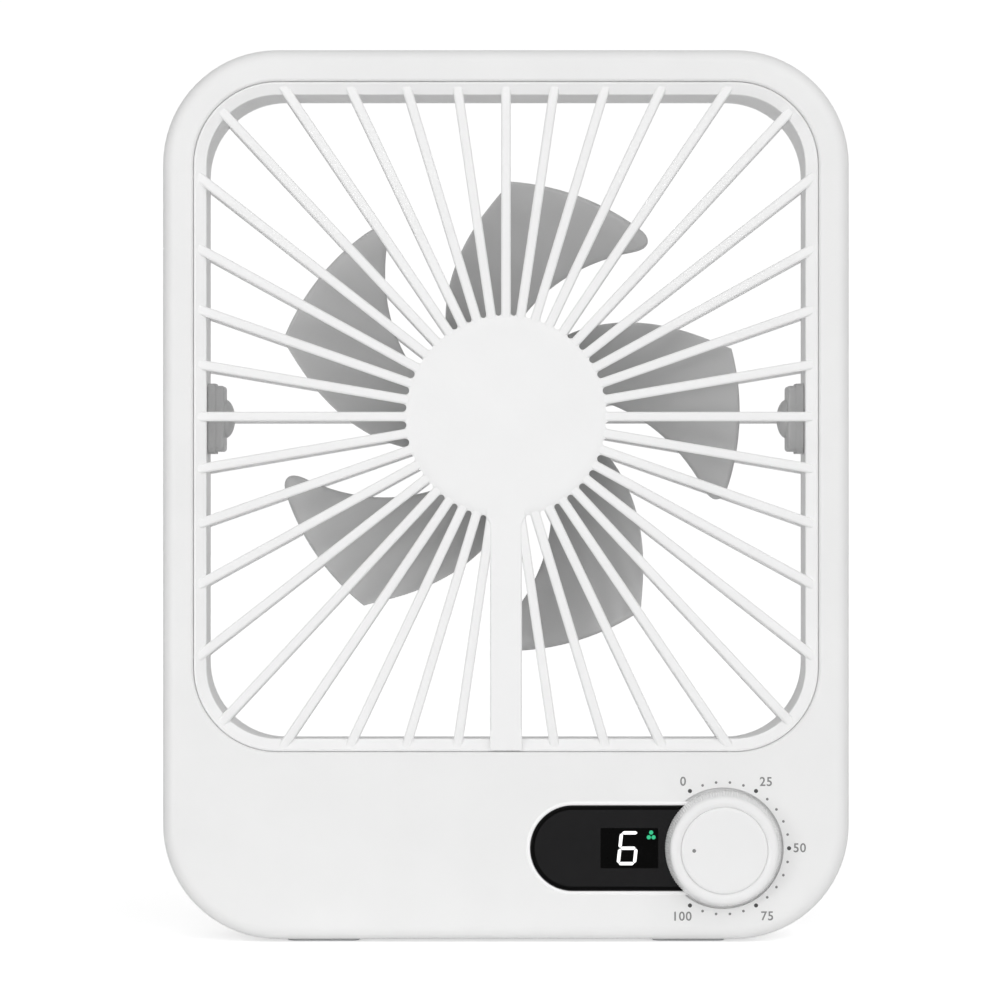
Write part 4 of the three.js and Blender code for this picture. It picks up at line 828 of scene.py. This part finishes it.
def front_grille():
    strut = SPOKES // 2
    slope = [(RIM_BACK, RIM_WIDTH), (RIM_FRONT + 0.45, RIM_WIDTH), (RIM_FRONT + 0.12, RIM_WIDTH - 0.12)]
    slope += [(RIM_FRONT, RIM_WIDTH - 0.5), (RIM_FRONT + 0.9, 0.3), (RIM_FRONT + 1.4, -1.5)]
    rim = loft("rim", [(depth, opening(grow)) for depth, grow in slope])
    cut(rim, [cutter(opening, RIM_BACK + 1, 0.35, RIM_FRONT + 0.9)])
    bars = []
    for i in range(SPOKES):
        if i == strut:
            continue
        angle = spoke_angle(i)
        bend = window_reach(angle, -DIP_RUN)
        end = window_reach(angle, RIM_WIDTH - 0.3)
        fronts = [(DISC_R - SPOKE_ROOT, SPOKE_FRONT), *dip(bend, end)]
        bars.append(
            spoke(angle, [(r, bar_section(SPOKE_WIDTH, d, SPOKE_BACK, SPOKE_EDGE)) for r, d in fronts])
        )
    disc = disc_solid("disc", DISC_R, 0, DISC_THICKNESS, 1.0)
    skirt = rod(0, FAN_Z, DISC_R, DISC_THICKNESS / 2, SKIRT_BACK, steps=2 * ROUND_STEPS)
    half = STRUT_WIDTH / 2
    strut_top = FAN_Z - DISC_R + SKIRT_WALL
    rail = loft_z(
        "strut",
        [
            (z, bar_section(STRUT_WIDTH + 2 * flare, 0, STRUT_DEPTH, STRUT_EDGE))
            for z, flare in strut_flare(strut_top)
        ],
    )
    z0, z1 = OPEN_BOTTOM - RIM_WIDTH + GAP, OPEN_BOTTOM + 2
    foot = solid(
        "foot", lambda g=0.0: rounded(-half - g, half + g, z0 - g, z1, 0.3), 0, RIM_BACK, front=0.25
    )
    join(rim, [disc, skirt, rail, foot])
    channel = half - STRUT_WALL
    boss_r = high("bearing_tube", X) + GAP
    cut(
        rim,
        [
            merged("slots", slot_ends(DISC_R + 0.75, -1, SKIRT_BACK + 1, strut)),
            rod(0, FAN_Z, DISC_R - SKIRT_WALL, DISC_THICKNESS, SKIRT_BACK + 1, steps=ROUND_STEPS),
            box(-channel, channel, DISC_THICKNESS, STRUT_DEPTH + 1, OPEN_BOTTOM + 1.7, strut_top + 1),
            box(-channel, channel, RIM_BACK, STRUT_DEPTH + 1, OPEN_BOTTOM - 4, OPEN_BOTTOM + 2.7),
        ],
    )
    tube_near = DISC_THICKNESS - 0.2
    posts = [rod(middle(n, X), FAN_Z, MOTOR_POST_R, tube_near, SKIRT_BACK) for n in MOTOR_SCREWS]
    join(rim, [rod(0, FAN_Z, boss_r + 2, tube_near, SKIRT_BACK), *posts])
    holes = [rod(0, FAN_Z, boss_r, DISC_THICKNESS, SKIRT_BACK + 1)]
    for n in MOTOR_SCREWS:
        x = middle(n, X)
        holes.append(rod(x, FAN_Z, MOTOR_SCREW_ROOM_R, DISC_THICKNESS + GAP, SKIRT_BACK + 1))
    cut(rim, holes)
    grille = merged("grille", [rim, *bars])
    finish(grille, "front_grille_fine", "case", "grille_white", ["front_grille"])


def strut_flare(top):
    """The strut's stations: (z, how far each side flares), wider where it meets the disc."""
    meet = FAN_Z - DISC_R
    start = meet - STRUT_FLARE_RUN
    stations = [(OPEN_BOTTOM - RIM_OVERHANG + GAP, 0.0), (start, 0.0)]
    for share in (0.25, 0.5, 0.75, 1.0):
        stations.append((start + STRUT_FLARE_RUN * share, STRUT_FLARE * share**2))
    return stations + [(top, STRUT_FLARE)]


def rear_grille():
    near = REAR_SPOKE_FRONT
    plate = solid("plate", pod, near, DEPTH, back=REAR_EDGE_R)
    below = below_duct()
    cut(
        plate,
        [
            rear_cutter(lambda g=0.0: duct(g + DRAFT), near - 1, 0.7, DEPTH),
            loft("below", [(near - 1, below), (DEPTH - COVER_BELOW, below)]),
        ],
    )
    section = bar_section(REAR_SPOKE_WIDTH, 0, REAR_SPOKE_BACK - REAR_SPOKE_FRONT, 0.5)
    section = [(across, REAR_SPOKE_BACK - d) for across, d in section]  # rounded to the back
    bars = []
    for angle in map(spoke_angle, range(SPOKES)):
        end = window_reach(angle, RIM_OVERHANG + 1)
        bars.append(spoke(angle, [(REAR_DISC_R - REAR_SPOKE_ROOT, section), (end, section)]))
    disc_stations = [(near, REAR_DISC_R), (DEPTH - 0.6, REAR_DISC_R), (DEPTH - 0.35, REAR_DISC_R - 0.1)]
    disc_stations += [(DEPTH - 0.1, REAR_DISC_R - 0.35), (DEPTH, REAR_DISC_R - 0.8)]
    disc_stations += [(DEPTH - deep, r) for deep, r in REAR_DISC_GROOVE]
    disc = turned("disc", 0, FAN_Z, disc_stations)
    join(plate, [disc])
    holes = []
    for n in COVER_SCREWS:
        holes += screw_bosses([n], near - 1, DEPTH + 1, SCREW_ROOM_R)
        holes.append(head_recess(n, back_of(n) - SCREW_HEAD - GAP, 0.35, DEPTH))
    cut(plate, holes)
    grille = merged("grille", [plate, *bars])
    finish(grille, "rear_grille_fine", "case", "grille_white", ["rear_grille"])


def cable_cover():
    node = "cable_cover"
    shape = rounded(low(node, X), high(node, X), low(node, Z), high(node, Z), 0.3, steps=4)
    near, far = front_of(node), back_of(node)
    piece = loft("cover", [(near, shape), (far, shape)])
    finish(piece, "cable_cover_fine", "case", "grille_white", [node])


# ---- fan wheel


def blade(turn, rows=34, columns=22):
    """One blade: at each radius a closed section from the leading to the trailing edge.

    Seen from the front the wheel turns clockwise and its leading edges lie deeper.
    """
    root = HUB_R - HUB_WALL / 2
    rings = []
    for i in range(rows + 1):
        along = 1 - (1 - i / rows) ** 1.7
        r = root + (FAN_R - root) * along
        lead = -1 - BLADE_LEAD * along**0.92
        trail = BLADE_TRAIL * (1 - along) ** 1.12
        tip = max(0.0, 1 - (FAN_R - r) / BLADE_TIP_R)
        lead += 8 * (1 - sqrt(max(0.0, 1 - tip**2)))
        rear = BLADE_REAR + 4.4 * sin(pi * along * 0.6)
        rim = sqrt(max(0.04, 1 - max(0.0, 1 - (FAN_R - r) / 0.8) ** 2))
        section = []
        for side, order in ((-1, range(columns + 1)), (1, range(columns - 1, 0, -1))):
            for j in order:
                across = (1 - cos(pi * j / columns)) / 2
                near_edge = min(1.0, min(across, 1 - across) / 0.035)
                blunt = sqrt(max(0.0, 1 - (1 - near_edge) ** 2))
                thick = BLADE_THICKNESS * (0.45 + 0.55 * sin(pi * across)) * blunt * rim
                angle = radians(lead + (trail - lead) * across) + turn
                depth = rear + (BLADE_FRONT - rear) * across + 1.1 * sin(pi * across) + side * thick / 2
                section.append((r * cos(angle), FRONT + depth, FAN_Z + r * sin(angle)))
        rings.append(section)
    return skin("blade", rings)


def impeller():
    profile = [(HUB_FRONT, HUB_R - 0.6), (HUB_FRONT + 0.2, HUB_R - 0.2), (HUB_FRONT + 0.7, HUB_R)]
    profile += [(HUB_REAR - d, HUB_R - inset) for d, inset in fillet(1.2)[::-1]]
    hub = turned("hub", 0, FAN_Z, profile)
    blades = [blade(radians(BLADE_PHASE) + 2 * pi * i / BLADES) for i in range(BLADES)]
    join(hub, [merged("blades", blades)])
    bore = HUB_R - HUB_WALL
    cut(
        hub,
        [
            rod(0, FAN_Z, bore, HUB_FRONT - 1, HUB_REAR - HUB_PLATE, steps=ROUND_STEPS),
            rod(0, FAN_Z, high("motor_shaft", X) + GAP, HUB_FRONT, HUB_REAR + 1),
        ],
    )
    # the wheel's mid-grey look is painted shade on white plastic
    finish(hub, "fan_wheel", "rotor", "blade_white", ["impeller"], sharp=40)


# ---- knob and dial


def knurled(radius, depth_of_knurl, steps=KNURLS * 6):
    points = []
    for i in range(steps):
        angle = 2 * pi * i / steps
        r = radius - depth_of_knurl * (1 - abs(cos(KNURLS * angle / 2)))
        points.append((KNOB_X + r * cos(angle), KNOB_Z + r * sin(angle)))
    return points


def knob():
    seat = CAP_R + SEAM
    profile = [(KNOB_BASE, 6.0, 0), (KNOB_BASE, KNOB_R - 0.4, 0), (KNOB_BASE - 0.12, KNOB_R - 0.1, 0)]
    profile.append((KNOB_BASE - 0.4, KNOB_R, KNURL_DEPTH))
    profile.append((KNOB_TOP + 1.3, KNOB_R - KNOB_TAPER, KNURL_DEPTH))
    for d, inset in fillet(1.0, 8)[::-1]:
        profile.append((KNOB_TOP + 0.05 + d, KNOB_R - KNOB_TAPER - 0.15 - inset, 0))
    profile += [(KNOB_TOP, KNOB_R - 2.2, 0), (KNOB_TOP + 0.06, seat + 0.55, 0), (KNOB_TOP + 0.4, seat, 0)]
    profile += [(CAP_FLOOR + GAP, seat, 0), (CAP_FLOOR + GAP, 3.3, 0)]
    skirt = loft("skirt", [(depth, knurled(r, k)) for depth, r, k in profile])
    finish(skirt, "knob_skirt_fine", "knob", "knob_white", ["knob_skirt"], sharp=50)
    rings = [(CAP_FLOOR, CAP_R - 0.3), (CAP_FLOOR - 0.3, CAP_R), (CAP_TOP + 0.5, CAP_R)]
    rings += [(CAP_TOP + 0.2, CAP_R - 0.12), (CAP_TOP + 0.05, CAP_R - 0.4), (CAP_TOP, CAP_R - 0.8)]
    rings += [(CAP_TOP + 0.05, CAP_R * 0.8), (CAP_TOP + 0.12, CAP_R * 0.5), (CAP_TOP + 0.16, CAP_R * 0.2)]
    rings.append((CAP_TOP + 0.17, 0.2))
    cap = turned("cap", KNOB_X, KNOB_Z, rings)
    dot = spot(KNOB_X - 6.6, KNOB_Z, 0.42, CAP_TOP + 0.09)
    finish(cap, "knob_cap_fine", "knob", "knob_white", ["knob_cap"])
    finish(dot, "knob_dot", "knob", "knob_white", look=PRINT_GREY)


def spot(x, z, radius, face):
    """A printed dot with a softly rounded edge, its underside sunk in the face below it."""
    edge = PRINT * 0.8
    profile = [(face + PRINT, radius), (face - PRINT + edge, radius), (face - PRINT, radius - edge)]
    return turned("spot", x, z, profile, 24)


def dial():
    majors, minors = [], []
    for i, angle in enumerate(range(-DIAL_END, DIAL_END + 1, DIAL_STEP)):
        x = KNOB_X + DIAL_R * cos(radians(angle))
        z = KNOB_Z + DIAL_R * sin(radians(angle))
        if i % 5 == 0:
            majors.append(spot(x, z, 0.45, 0))
        else:
            minors.append(spot(x, z, 0.29, 0))
    finish(merged("majors", majors), "dial_dots_major", "case", "dark_plastic", look=PRINT_DARK)
    finish(merged("minors", minors), "dial_dots_minor", "case", "dark_plastic", look=PRINT_GREY)
    for text, angle, radius in LABELS:
        x = KNOB_X + radius * cos(radians(angle))
        z = KNOB_Z + radius * sin(radians(angle))
        number(text, x, z)


def number(text, x, z):
    """A printed number of the dial, centred at (x, z)."""
    curve = bpy.data.curves.new("number", "FONT")
    curve.body = text
    curve.size = LABEL_SIZE * MM
    curve.align_x = "CENTER"
    curve.align_y = "CENTER"
    curve.extrude = PRINT * MM
    curve.resolution_u = 6
    curve.offset = 0.035 * MM
    curve.space_character = 1.1
    letters = link("number", curve)
    graph = bpy.context.evaluated_depsgraph_get()
    mesh = bpy.data.meshes.new_from_object(letters.evaluated_get(graph))
    bpy.data.objects.remove(letters)
    for vertex in mesh.vertices:
        across, up, out = vertex.co
        vertex.co = (across * 0.98 + x * MM, FRONT * MM - out, up + z * MM)
    finish(link("number", mesh), f"dial_number_{text}", "case", "dark_plastic", look=PRINT_GREY)


# ---- display


def trim_ring(name, shape, inner, outer, face, height):
    """A rounded trim between two offsets of a shape, standing up from face."""
    width = outer - inner
    rise = [(face + 0.3, inner), (face, inner), (face - 0.7 * height, inner + 0.18 * width)]
    rise += [(face - height, inner + 0.42 * width), (face - height, inner + 0.6 * width)]
    rise += [(face - 0.6 * height, inner + 0.85 * width), (face, outer), (face + 0.3, outer)]
    return ring(name, shape, rise)


def display():
    cover = solid("lens", lens, LENS_FACE, LENS_BACK, front=0.25)
    finish(cover, "display_lens_fine", "case", "lens_black", ["display_lens"])
    border = trim_ring("border", lens, -LENS_BORDER, -0.2, LENS_FACE, 0.03)
    finish(border, "lens_border", "case", "lens_black", look=BORDER_BLACK)
    # a raised rounded trim around the lens; its extra whiteness is a painted highlight
    trim = trim_ring("trim", lens, 0.12, 0.12 + LENS_TRIM, 0.02, 0.16)
    finish(trim, "lens_trim", "case", "case_white", look=TRIM_PAINTED_HIGHLIGHT)
    pane = solid(
        "window",
        lambda g=0.0: window(WINDOW_W / 2 + g, WINDOW_H / 2 + g, 0.25 + g),
        PRINTED_FACE,
        LENS_FACE + 0.4,
        front=0.02,
    )
    finish(pane, "display_window", "case", "lens_black", look=WINDOW_BLACK)
    digit = merged("digit", seven_segment("afedcg"))
    finish(digit, "display_digit", "case", "clear_light", look=DIGIT_GLOW)
    lobes = []
    for x, z in ((0, 0.62), (-0.52, -0.42), (0.52, -0.42)):
        lobes.append(spot(WINDOW_X + ICON_X + x, KNOB_Z + ICON_Z + z, ICON_R, PRINTED_FACE))
    finish(merged("icon", lobes), "display_icon", "case", "clear_light", look=ICON_GLOW)


def seven_segment(lit):
    """The lit bars of a slanted seven-segment digit, each a hexagon."""
    w, h = DIGIT_W / 2, DIGIT_H / 2
    ends = {
        "a": ((-w, h), (w, h)),
        "b": ((w, h), (w, 0)),
        "c": ((w, 0), (w, -h)),
        "d": ((-w, -h), (w, -h)),
        "e": ((-w, -h), (-w, 0)),
        "f": ((-w, 0), (-w, h)),
        "g": ((-w, 0), (w, 0)),
    }
    half = DIGIT_STROKE / 2
    start = 0.08
    bars = []
    for name in lit:
        (x0, z0), (x1, z1) = ends[name]
        length = hypot(x1 - x0, z1 - z0)
        ux, uz = (x1 - x0) / length, (z1 - z0) / length
        shape = []
        for along, side in (
            (start, 0),
            (start + half, half),
            (length - start - half, half),
            (length - start, 0),
            (length - start - half, -half),
            (start + half, -half),
        ):
            x = x0 + ux * along - uz * side
            z = z0 + uz * along + ux * side
            shape.append((WINDOW_X + DIGIT_X + x + DIGIT_SLANT * z, KNOB_Z + z))
        bars.append(loft("bar", [(PRINTED_FACE + PRINT, shape), (PRINTED_FACE - PRINT, shape)]))
    return bars


# ---- stand and hinges


def stand_outline(grow=0.0):
    """The U of the stand: arms up to the hinge's axis, and the bar."""
    out, inner = ARM_OUT + grow, ARM_OUT - ARM_WIDTH - grow
    bottom, bar_top = BAR_BOTTOM - grow, BAR_BOTTOM + BAR_HEIGHT + grow
    outer_r, inner_r = STAND_R + grow, STAND_R - ARM_WIDTH - grow
    points = [(-out, HINGE_Z)]
    for start, x in ((180, -out + outer_r), (270, out - outer_r)):
        points += arc(x, bottom + outer_r, outer_r, start)
    points += [(out, HINGE_Z), (inner, HINGE_Z)]
    for start, x in ((0, inner - inner_r), (-90, inner_r - inner)):
        points += arc(x, bar_top + inner_r, inner_r, start, -90)
    return points + [(-inner, HINGE_Z)]


def side_rod(side, inner, outer, radius, steps=SMALL_STEPS):
    ends = sorted((side * inner, side * outer))
    return rod_x(ends[0], ends[1], HINGE_DEPTH, HINGE_Z, radius, steps)


def rounded_eye(side, inner, outer, radius, edge=0.9):
    """The round end of an arm, with both its edges rounded."""
    profile = [(inner + d, radius - inset) for d, inset in fillet(edge, 5)]
    profile += [(outer - d, radius - inset) for d, inset in fillet(edge, 5)[::-1]]
    return turned_x("eye", HINGE_DEPTH, HINGE_Z, profile, side, ROUND_STEPS)


def stand():
    arm_in = ARM_OUT - ARM_WIDTH
    body = solid("stand", stand_outline, ARM_NEAR, ARM_FAR, front=ARM_EDGE, back=ARM_EDGE)
    half_depth = (ARM_FAR - ARM_NEAR) / 2
    join(body, [rounded_eye(side, arm_in, ARM_OUT, half_depth) for side in (-1, 1)])
    holes = []
    for side, name in ((-1, "left"), (1, "right")):
        pad = f"stand_pad_{name}"
        holes += [
            side_rod(side, arm_in - 1, ARM_OUT + 1, PIN_R + GAP),
            side_rod(side, ARM_OUT - PIN_HEAD_DEEP, ARM_OUT + 1, PIN_HEAD_R + GAP, ROUND_STEPS),
            side_rod(side, arm_in - 1, arm_in + WASHER_ROOM, WASHER_ROOM_R, ROUND_STEPS),
            box(*room(pad), BAR_BOTTOM - 1, high(pad, Z) + GAP),
        ]
    cut(body, holes)
    finish(body, "stand_frame_fine", "stand", "case_white", ["stand_frame"])


def rounded_pad(node, body, radius, edge):
    """A rubber pad or foot in a CAD node's place, with ribs across its underside."""
    x0, x1 = low(node, X), high(node, X)
    y0, y1 = front_of(node), back_of(node)
    z0, z1 = low(node, Z), high(node, Z)

    def shape(grow=0.0):
        return rounded(x0 - grow, x1 + grow, y0 - grow, y1 + grow, radius + grow, steps=8)

    stations = [(z0 + d, shape(-inset)) for d, inset in fillet(edge, 4)]
    piece = loft_z("pad", [*stations, (z1, shape())])
    grooves = []
    count = int((x1 - x0 - 2) / RIB_PITCH)
    half = RIB_GROOVE / 2
    for i in range(count):
        x = (x0 + x1) / 2 + (i - (count - 1) / 2) * RIB_PITCH
        grooves.append(box(x - half, x + half, y0 + 1, y1 - 1, z0 - 1, z0 + 0.18))
    cut(piece, [merged("grooves", grooves)])
    finish(piece, f"{node}_fine", body, "rubber_grey", [node])


def hinges():
    for side, name in ((-1, "left"), (1, "right")):
        bracket, cap, pin = f"hinge_bracket_{name}", f"hinge_cap_{name}", f"hinge_pin_{name}"
        y0, y1 = front_of(bracket), back_of(bracket)
        z0, z1 = low(bracket, Z), high(bracket, Z)
        inner, outer = inner_x(bracket) + BRACKET_SLIM, outer_x(bracket)
        profile = [(inner + d, inset + 0.5) for d, inset in fillet(0.7, 5)]
        profile += [(outer - BRACKET_FLANGE, 0.5), (outer - BRACKET_FLANGE, 0.0), (outer + GAP, 0.0)]
        block = loft_x(
            "bracket",
            [(side * x, rounded(y0 + i, y1 - i, z0 + i, z1 - i, 1.6 - i, steps=8)) for x, i in profile],
        )
        cut(block, [side_rod(side, inner - 1, outer + 1, PIN_R + GAP)])
        # the brackets and caps are white plastic; they take the blades' darker grey look as painted shade, deep at
        # the window's sides
        painted_shade_look = LOOKS["blade_white"]
        finish(block, f"{bracket}_fine", "case", "grille_white", [bracket], painted_shade_look)
        cap_r = (high(cap, Z) - low(cap, Z)) / 2
        start = inner + 0.1
        rise = start - inner_x(cap) - BRACKET_SLIM / 2
        turns = [pi / 2 * i / 8 for i in range(8)]
        dome = [(start - rise * sin(t), cap_r * cos(t)) for t in turns] + [(start - rise, 0.1)]
        button = turned_x("cap", HINGE_DEPTH, HINGE_Z, dome, side)
        finish(button, f"{cap}_fine", "case", "grille_white", [cap], painted_shade_look)
        pin_in = max(inner_x(pin), start + GAP)  # clear of the cap
        pin_out = outer_x(pin)
        shaft = [(pin_in, PIN_R - 0.3), (pin_in + 0.3, PIN_R), (pin_out - 1.1, PIN_R)]
        shaft += [(pin_out - 1.1, PIN_HEAD_R)]
        shaft += [(pin_out - d, PIN_HEAD_R - inset) for d, inset in fillet(0.4, 4)[::-1]]
        rivet = turned_x("pin", HINGE_DEPTH, HINGE_Z, shaft, side)
        cut(rivet, [side_rod(side, pin_out - 0.35, pin_out + 1, 1.5, 6)])
        finish(rivet, f"{pin}_fine", "stand", "steel", [pin])


# ---- screws and port


def screws():
    for node in HOUSING_SCREWS + COVER_SCREWS:
        x, z = middle(node, X), middle(node, Z)
        face = back_of(node)
        tip = front_of(node)
        under = face - SCREW_HEAD
        profile = [(tip, 0.2), (tip + 0.8, 1.0), (under, SCREW_R), (under, SCREW_HEAD_R)]
        profile.append((face - 0.5, SCREW_HEAD_R))
        profile += [(face - 0.22, 2.0), (face - 0.05, 1.5), (face, 0.8)]
        piece = turned("screw", x, z, profile, SMALL_STEPS)
        arms = [
            box(x - across, x + across, face - SLOT_DEEP, face + 1, z - up, z + up)
            for across, up in ((SLOT_REACH, SLOT_HALF), (SLOT_HALF, SLOT_REACH))
        ]
        cut(piece, arms)
        finish(piece, f"{node}_fine", "case", "steel", [node])


def usb_port():
    back, mouth = low("usb_shell", X), high("usb_shell", X)
    profile = [(back, -0.3), (back + 0.3, 0.0), (mouth - 0.1, 0.0), (mouth, -0.1)]
    profile += [(mouth, -0.3), (mouth - 0.15, -0.38), (back + 1, -0.38)]
    shell = loft_x("usb", [(x, usb_shape(grow)) for x, grow in profile])
    finish(shell, "usb_shell_fine", "case", "steel", ["usb_shell"])
    z, depth = middle("charge_light", Z), middle("charge_light", Y) - FRONT
    start, end = low("charge_light", X), high("charge_light", X)
    profile = [(start, 1.1), (end - 0.4, 1.1), (end - 0.15, 0.95), (end - 0.03, 0.6), (end, 0.2)]
    light = turned_x("light", depth, z, profile)
    finish(light, "charge_light_fine", "case", "clear_light", ["charge_light"])


# ---- all pieces

front_housing()
rear_housing()
front_grille()
rear_grille()
cable_cover()
impeller()
knob()
dial()
display()
stand()
hinges()
screws()
usb_port()
for foot in FEET:
    rounded_pad(foot, "case", 2.0, 0.35)
for pad in PADS:
    rounded_pad(pad, "stand", 1.0, 0.25)

# ---- stage, light and camera


def studio():
    """Bright in front, a little less behind, dim at the sides so that round edges show.

    What the camera itself sees of it is plain white.
    """
    world = bpy.data.worlds.new("studio")
    bpy.context.scene.world = world
    tree = Tree(world)
    direction = tree.add("ShaderNodeTexCoord").outputs["Generated"]
    parts = tree.add("ShaderNodeSeparateXYZ", Vector=direction).outputs
    front = tree.ramp(parts["Y"], -0.85, -0.1, LIGHT_FRONT, LIGHT_SIDE)
    behind = tree.ramp(parts["Y"], 0.35, 0.95, LIGHT_SIDE, LIGHT_BEHIND)
    level = tree.math("MAXIMUM", front, behind)
    level = tree.math("MULTIPLY_ADD", parts["X"], LIGHT_TILT, level)
    level = tree.math("MULTIPLY_ADD", parts["Z"], LIGHT_TILT, level)
    seen = tree.add("ShaderNodeLightPath").outputs["Is Camera Ray"]
    level = tree.math("MAXIMUM", level, tree.math("MULTIPLY", seen, BACKDROP))
    background = tree.add("ShaderNodeBackground", Color=(1, 1, 1, 1), Strength=level)
    tree.add("ShaderNodeOutputWorld", Surface=background.outputs[0])


def floor():
    bm = bmesh.new()
    signs = ((-1, -1), (1, -1), (1, 1), (-1, 1))
    bm.faces.new([bm.verts.new((x * FLOOR_SIZE, y * FLOOR_SIZE, 0)) for x, y in signs])
    mesh = mesh_from("floor", bm)
    piece = link("floor", mesh)
    paint = bpy.data.materials.new("floor")
    tree = Tree(paint)
    seen = tree.add("ShaderNodeLightPath").outputs["Is Camera Ray"]
    shader = tree.add("ShaderNodeBsdfPrincipled", Base_Color=(0.9, 0.9, 0.9, 1), Roughness=0.7)
    shader.inputs["Emission Color"].default_value = (1, 1, 1, 1)
    glow = tree.math("MULTIPLY_ADD", seen, FLOOR_GLOW_SEEN, FLOOR_GLOW)
    tree.tree.links.new(glow, shader.inputs["Emission Strength"])
    tree.add("ShaderNodeOutputMaterial", Surface=shader.outputs[0])
    mesh.materials.append(paint)


def soft_light(name, place, aim, size, power):
    """A round lamp, in metres and watts."""
    data = bpy.data.lights.new(name, "AREA")
    data.shape = "DISK"
    data.size = size
    data.energy = power
    lamp = link(name, data)
    lamp.location = place
    lamp.rotation_euler = (Vector(aim) - Vector(place)).to_track_quat("-Z", "Y").to_euler()


def camera():
    data = bpy.data.cameras.new("camera")
    data.lens = CAMERA_LENS
    data.sensor_width = 36.0
    data.clip_start = 0.05
    view = link("camera", data)
    view.location = (CAMERA_X, FRONT * MM - CAMERA_DISTANCE, CAMERA_Z)
    view.rotation_euler = (radians(90), 0, 0)
    bpy.context.scene.camera = view


studio()
floor()
soft_light("key", place=(-0.6, -0.78, 0.03), aim=(0.02, 0, 0.05), size=0.2, power=1.1)
camera()
bpy.context.scene.view_settings.view_transform = "Standard"
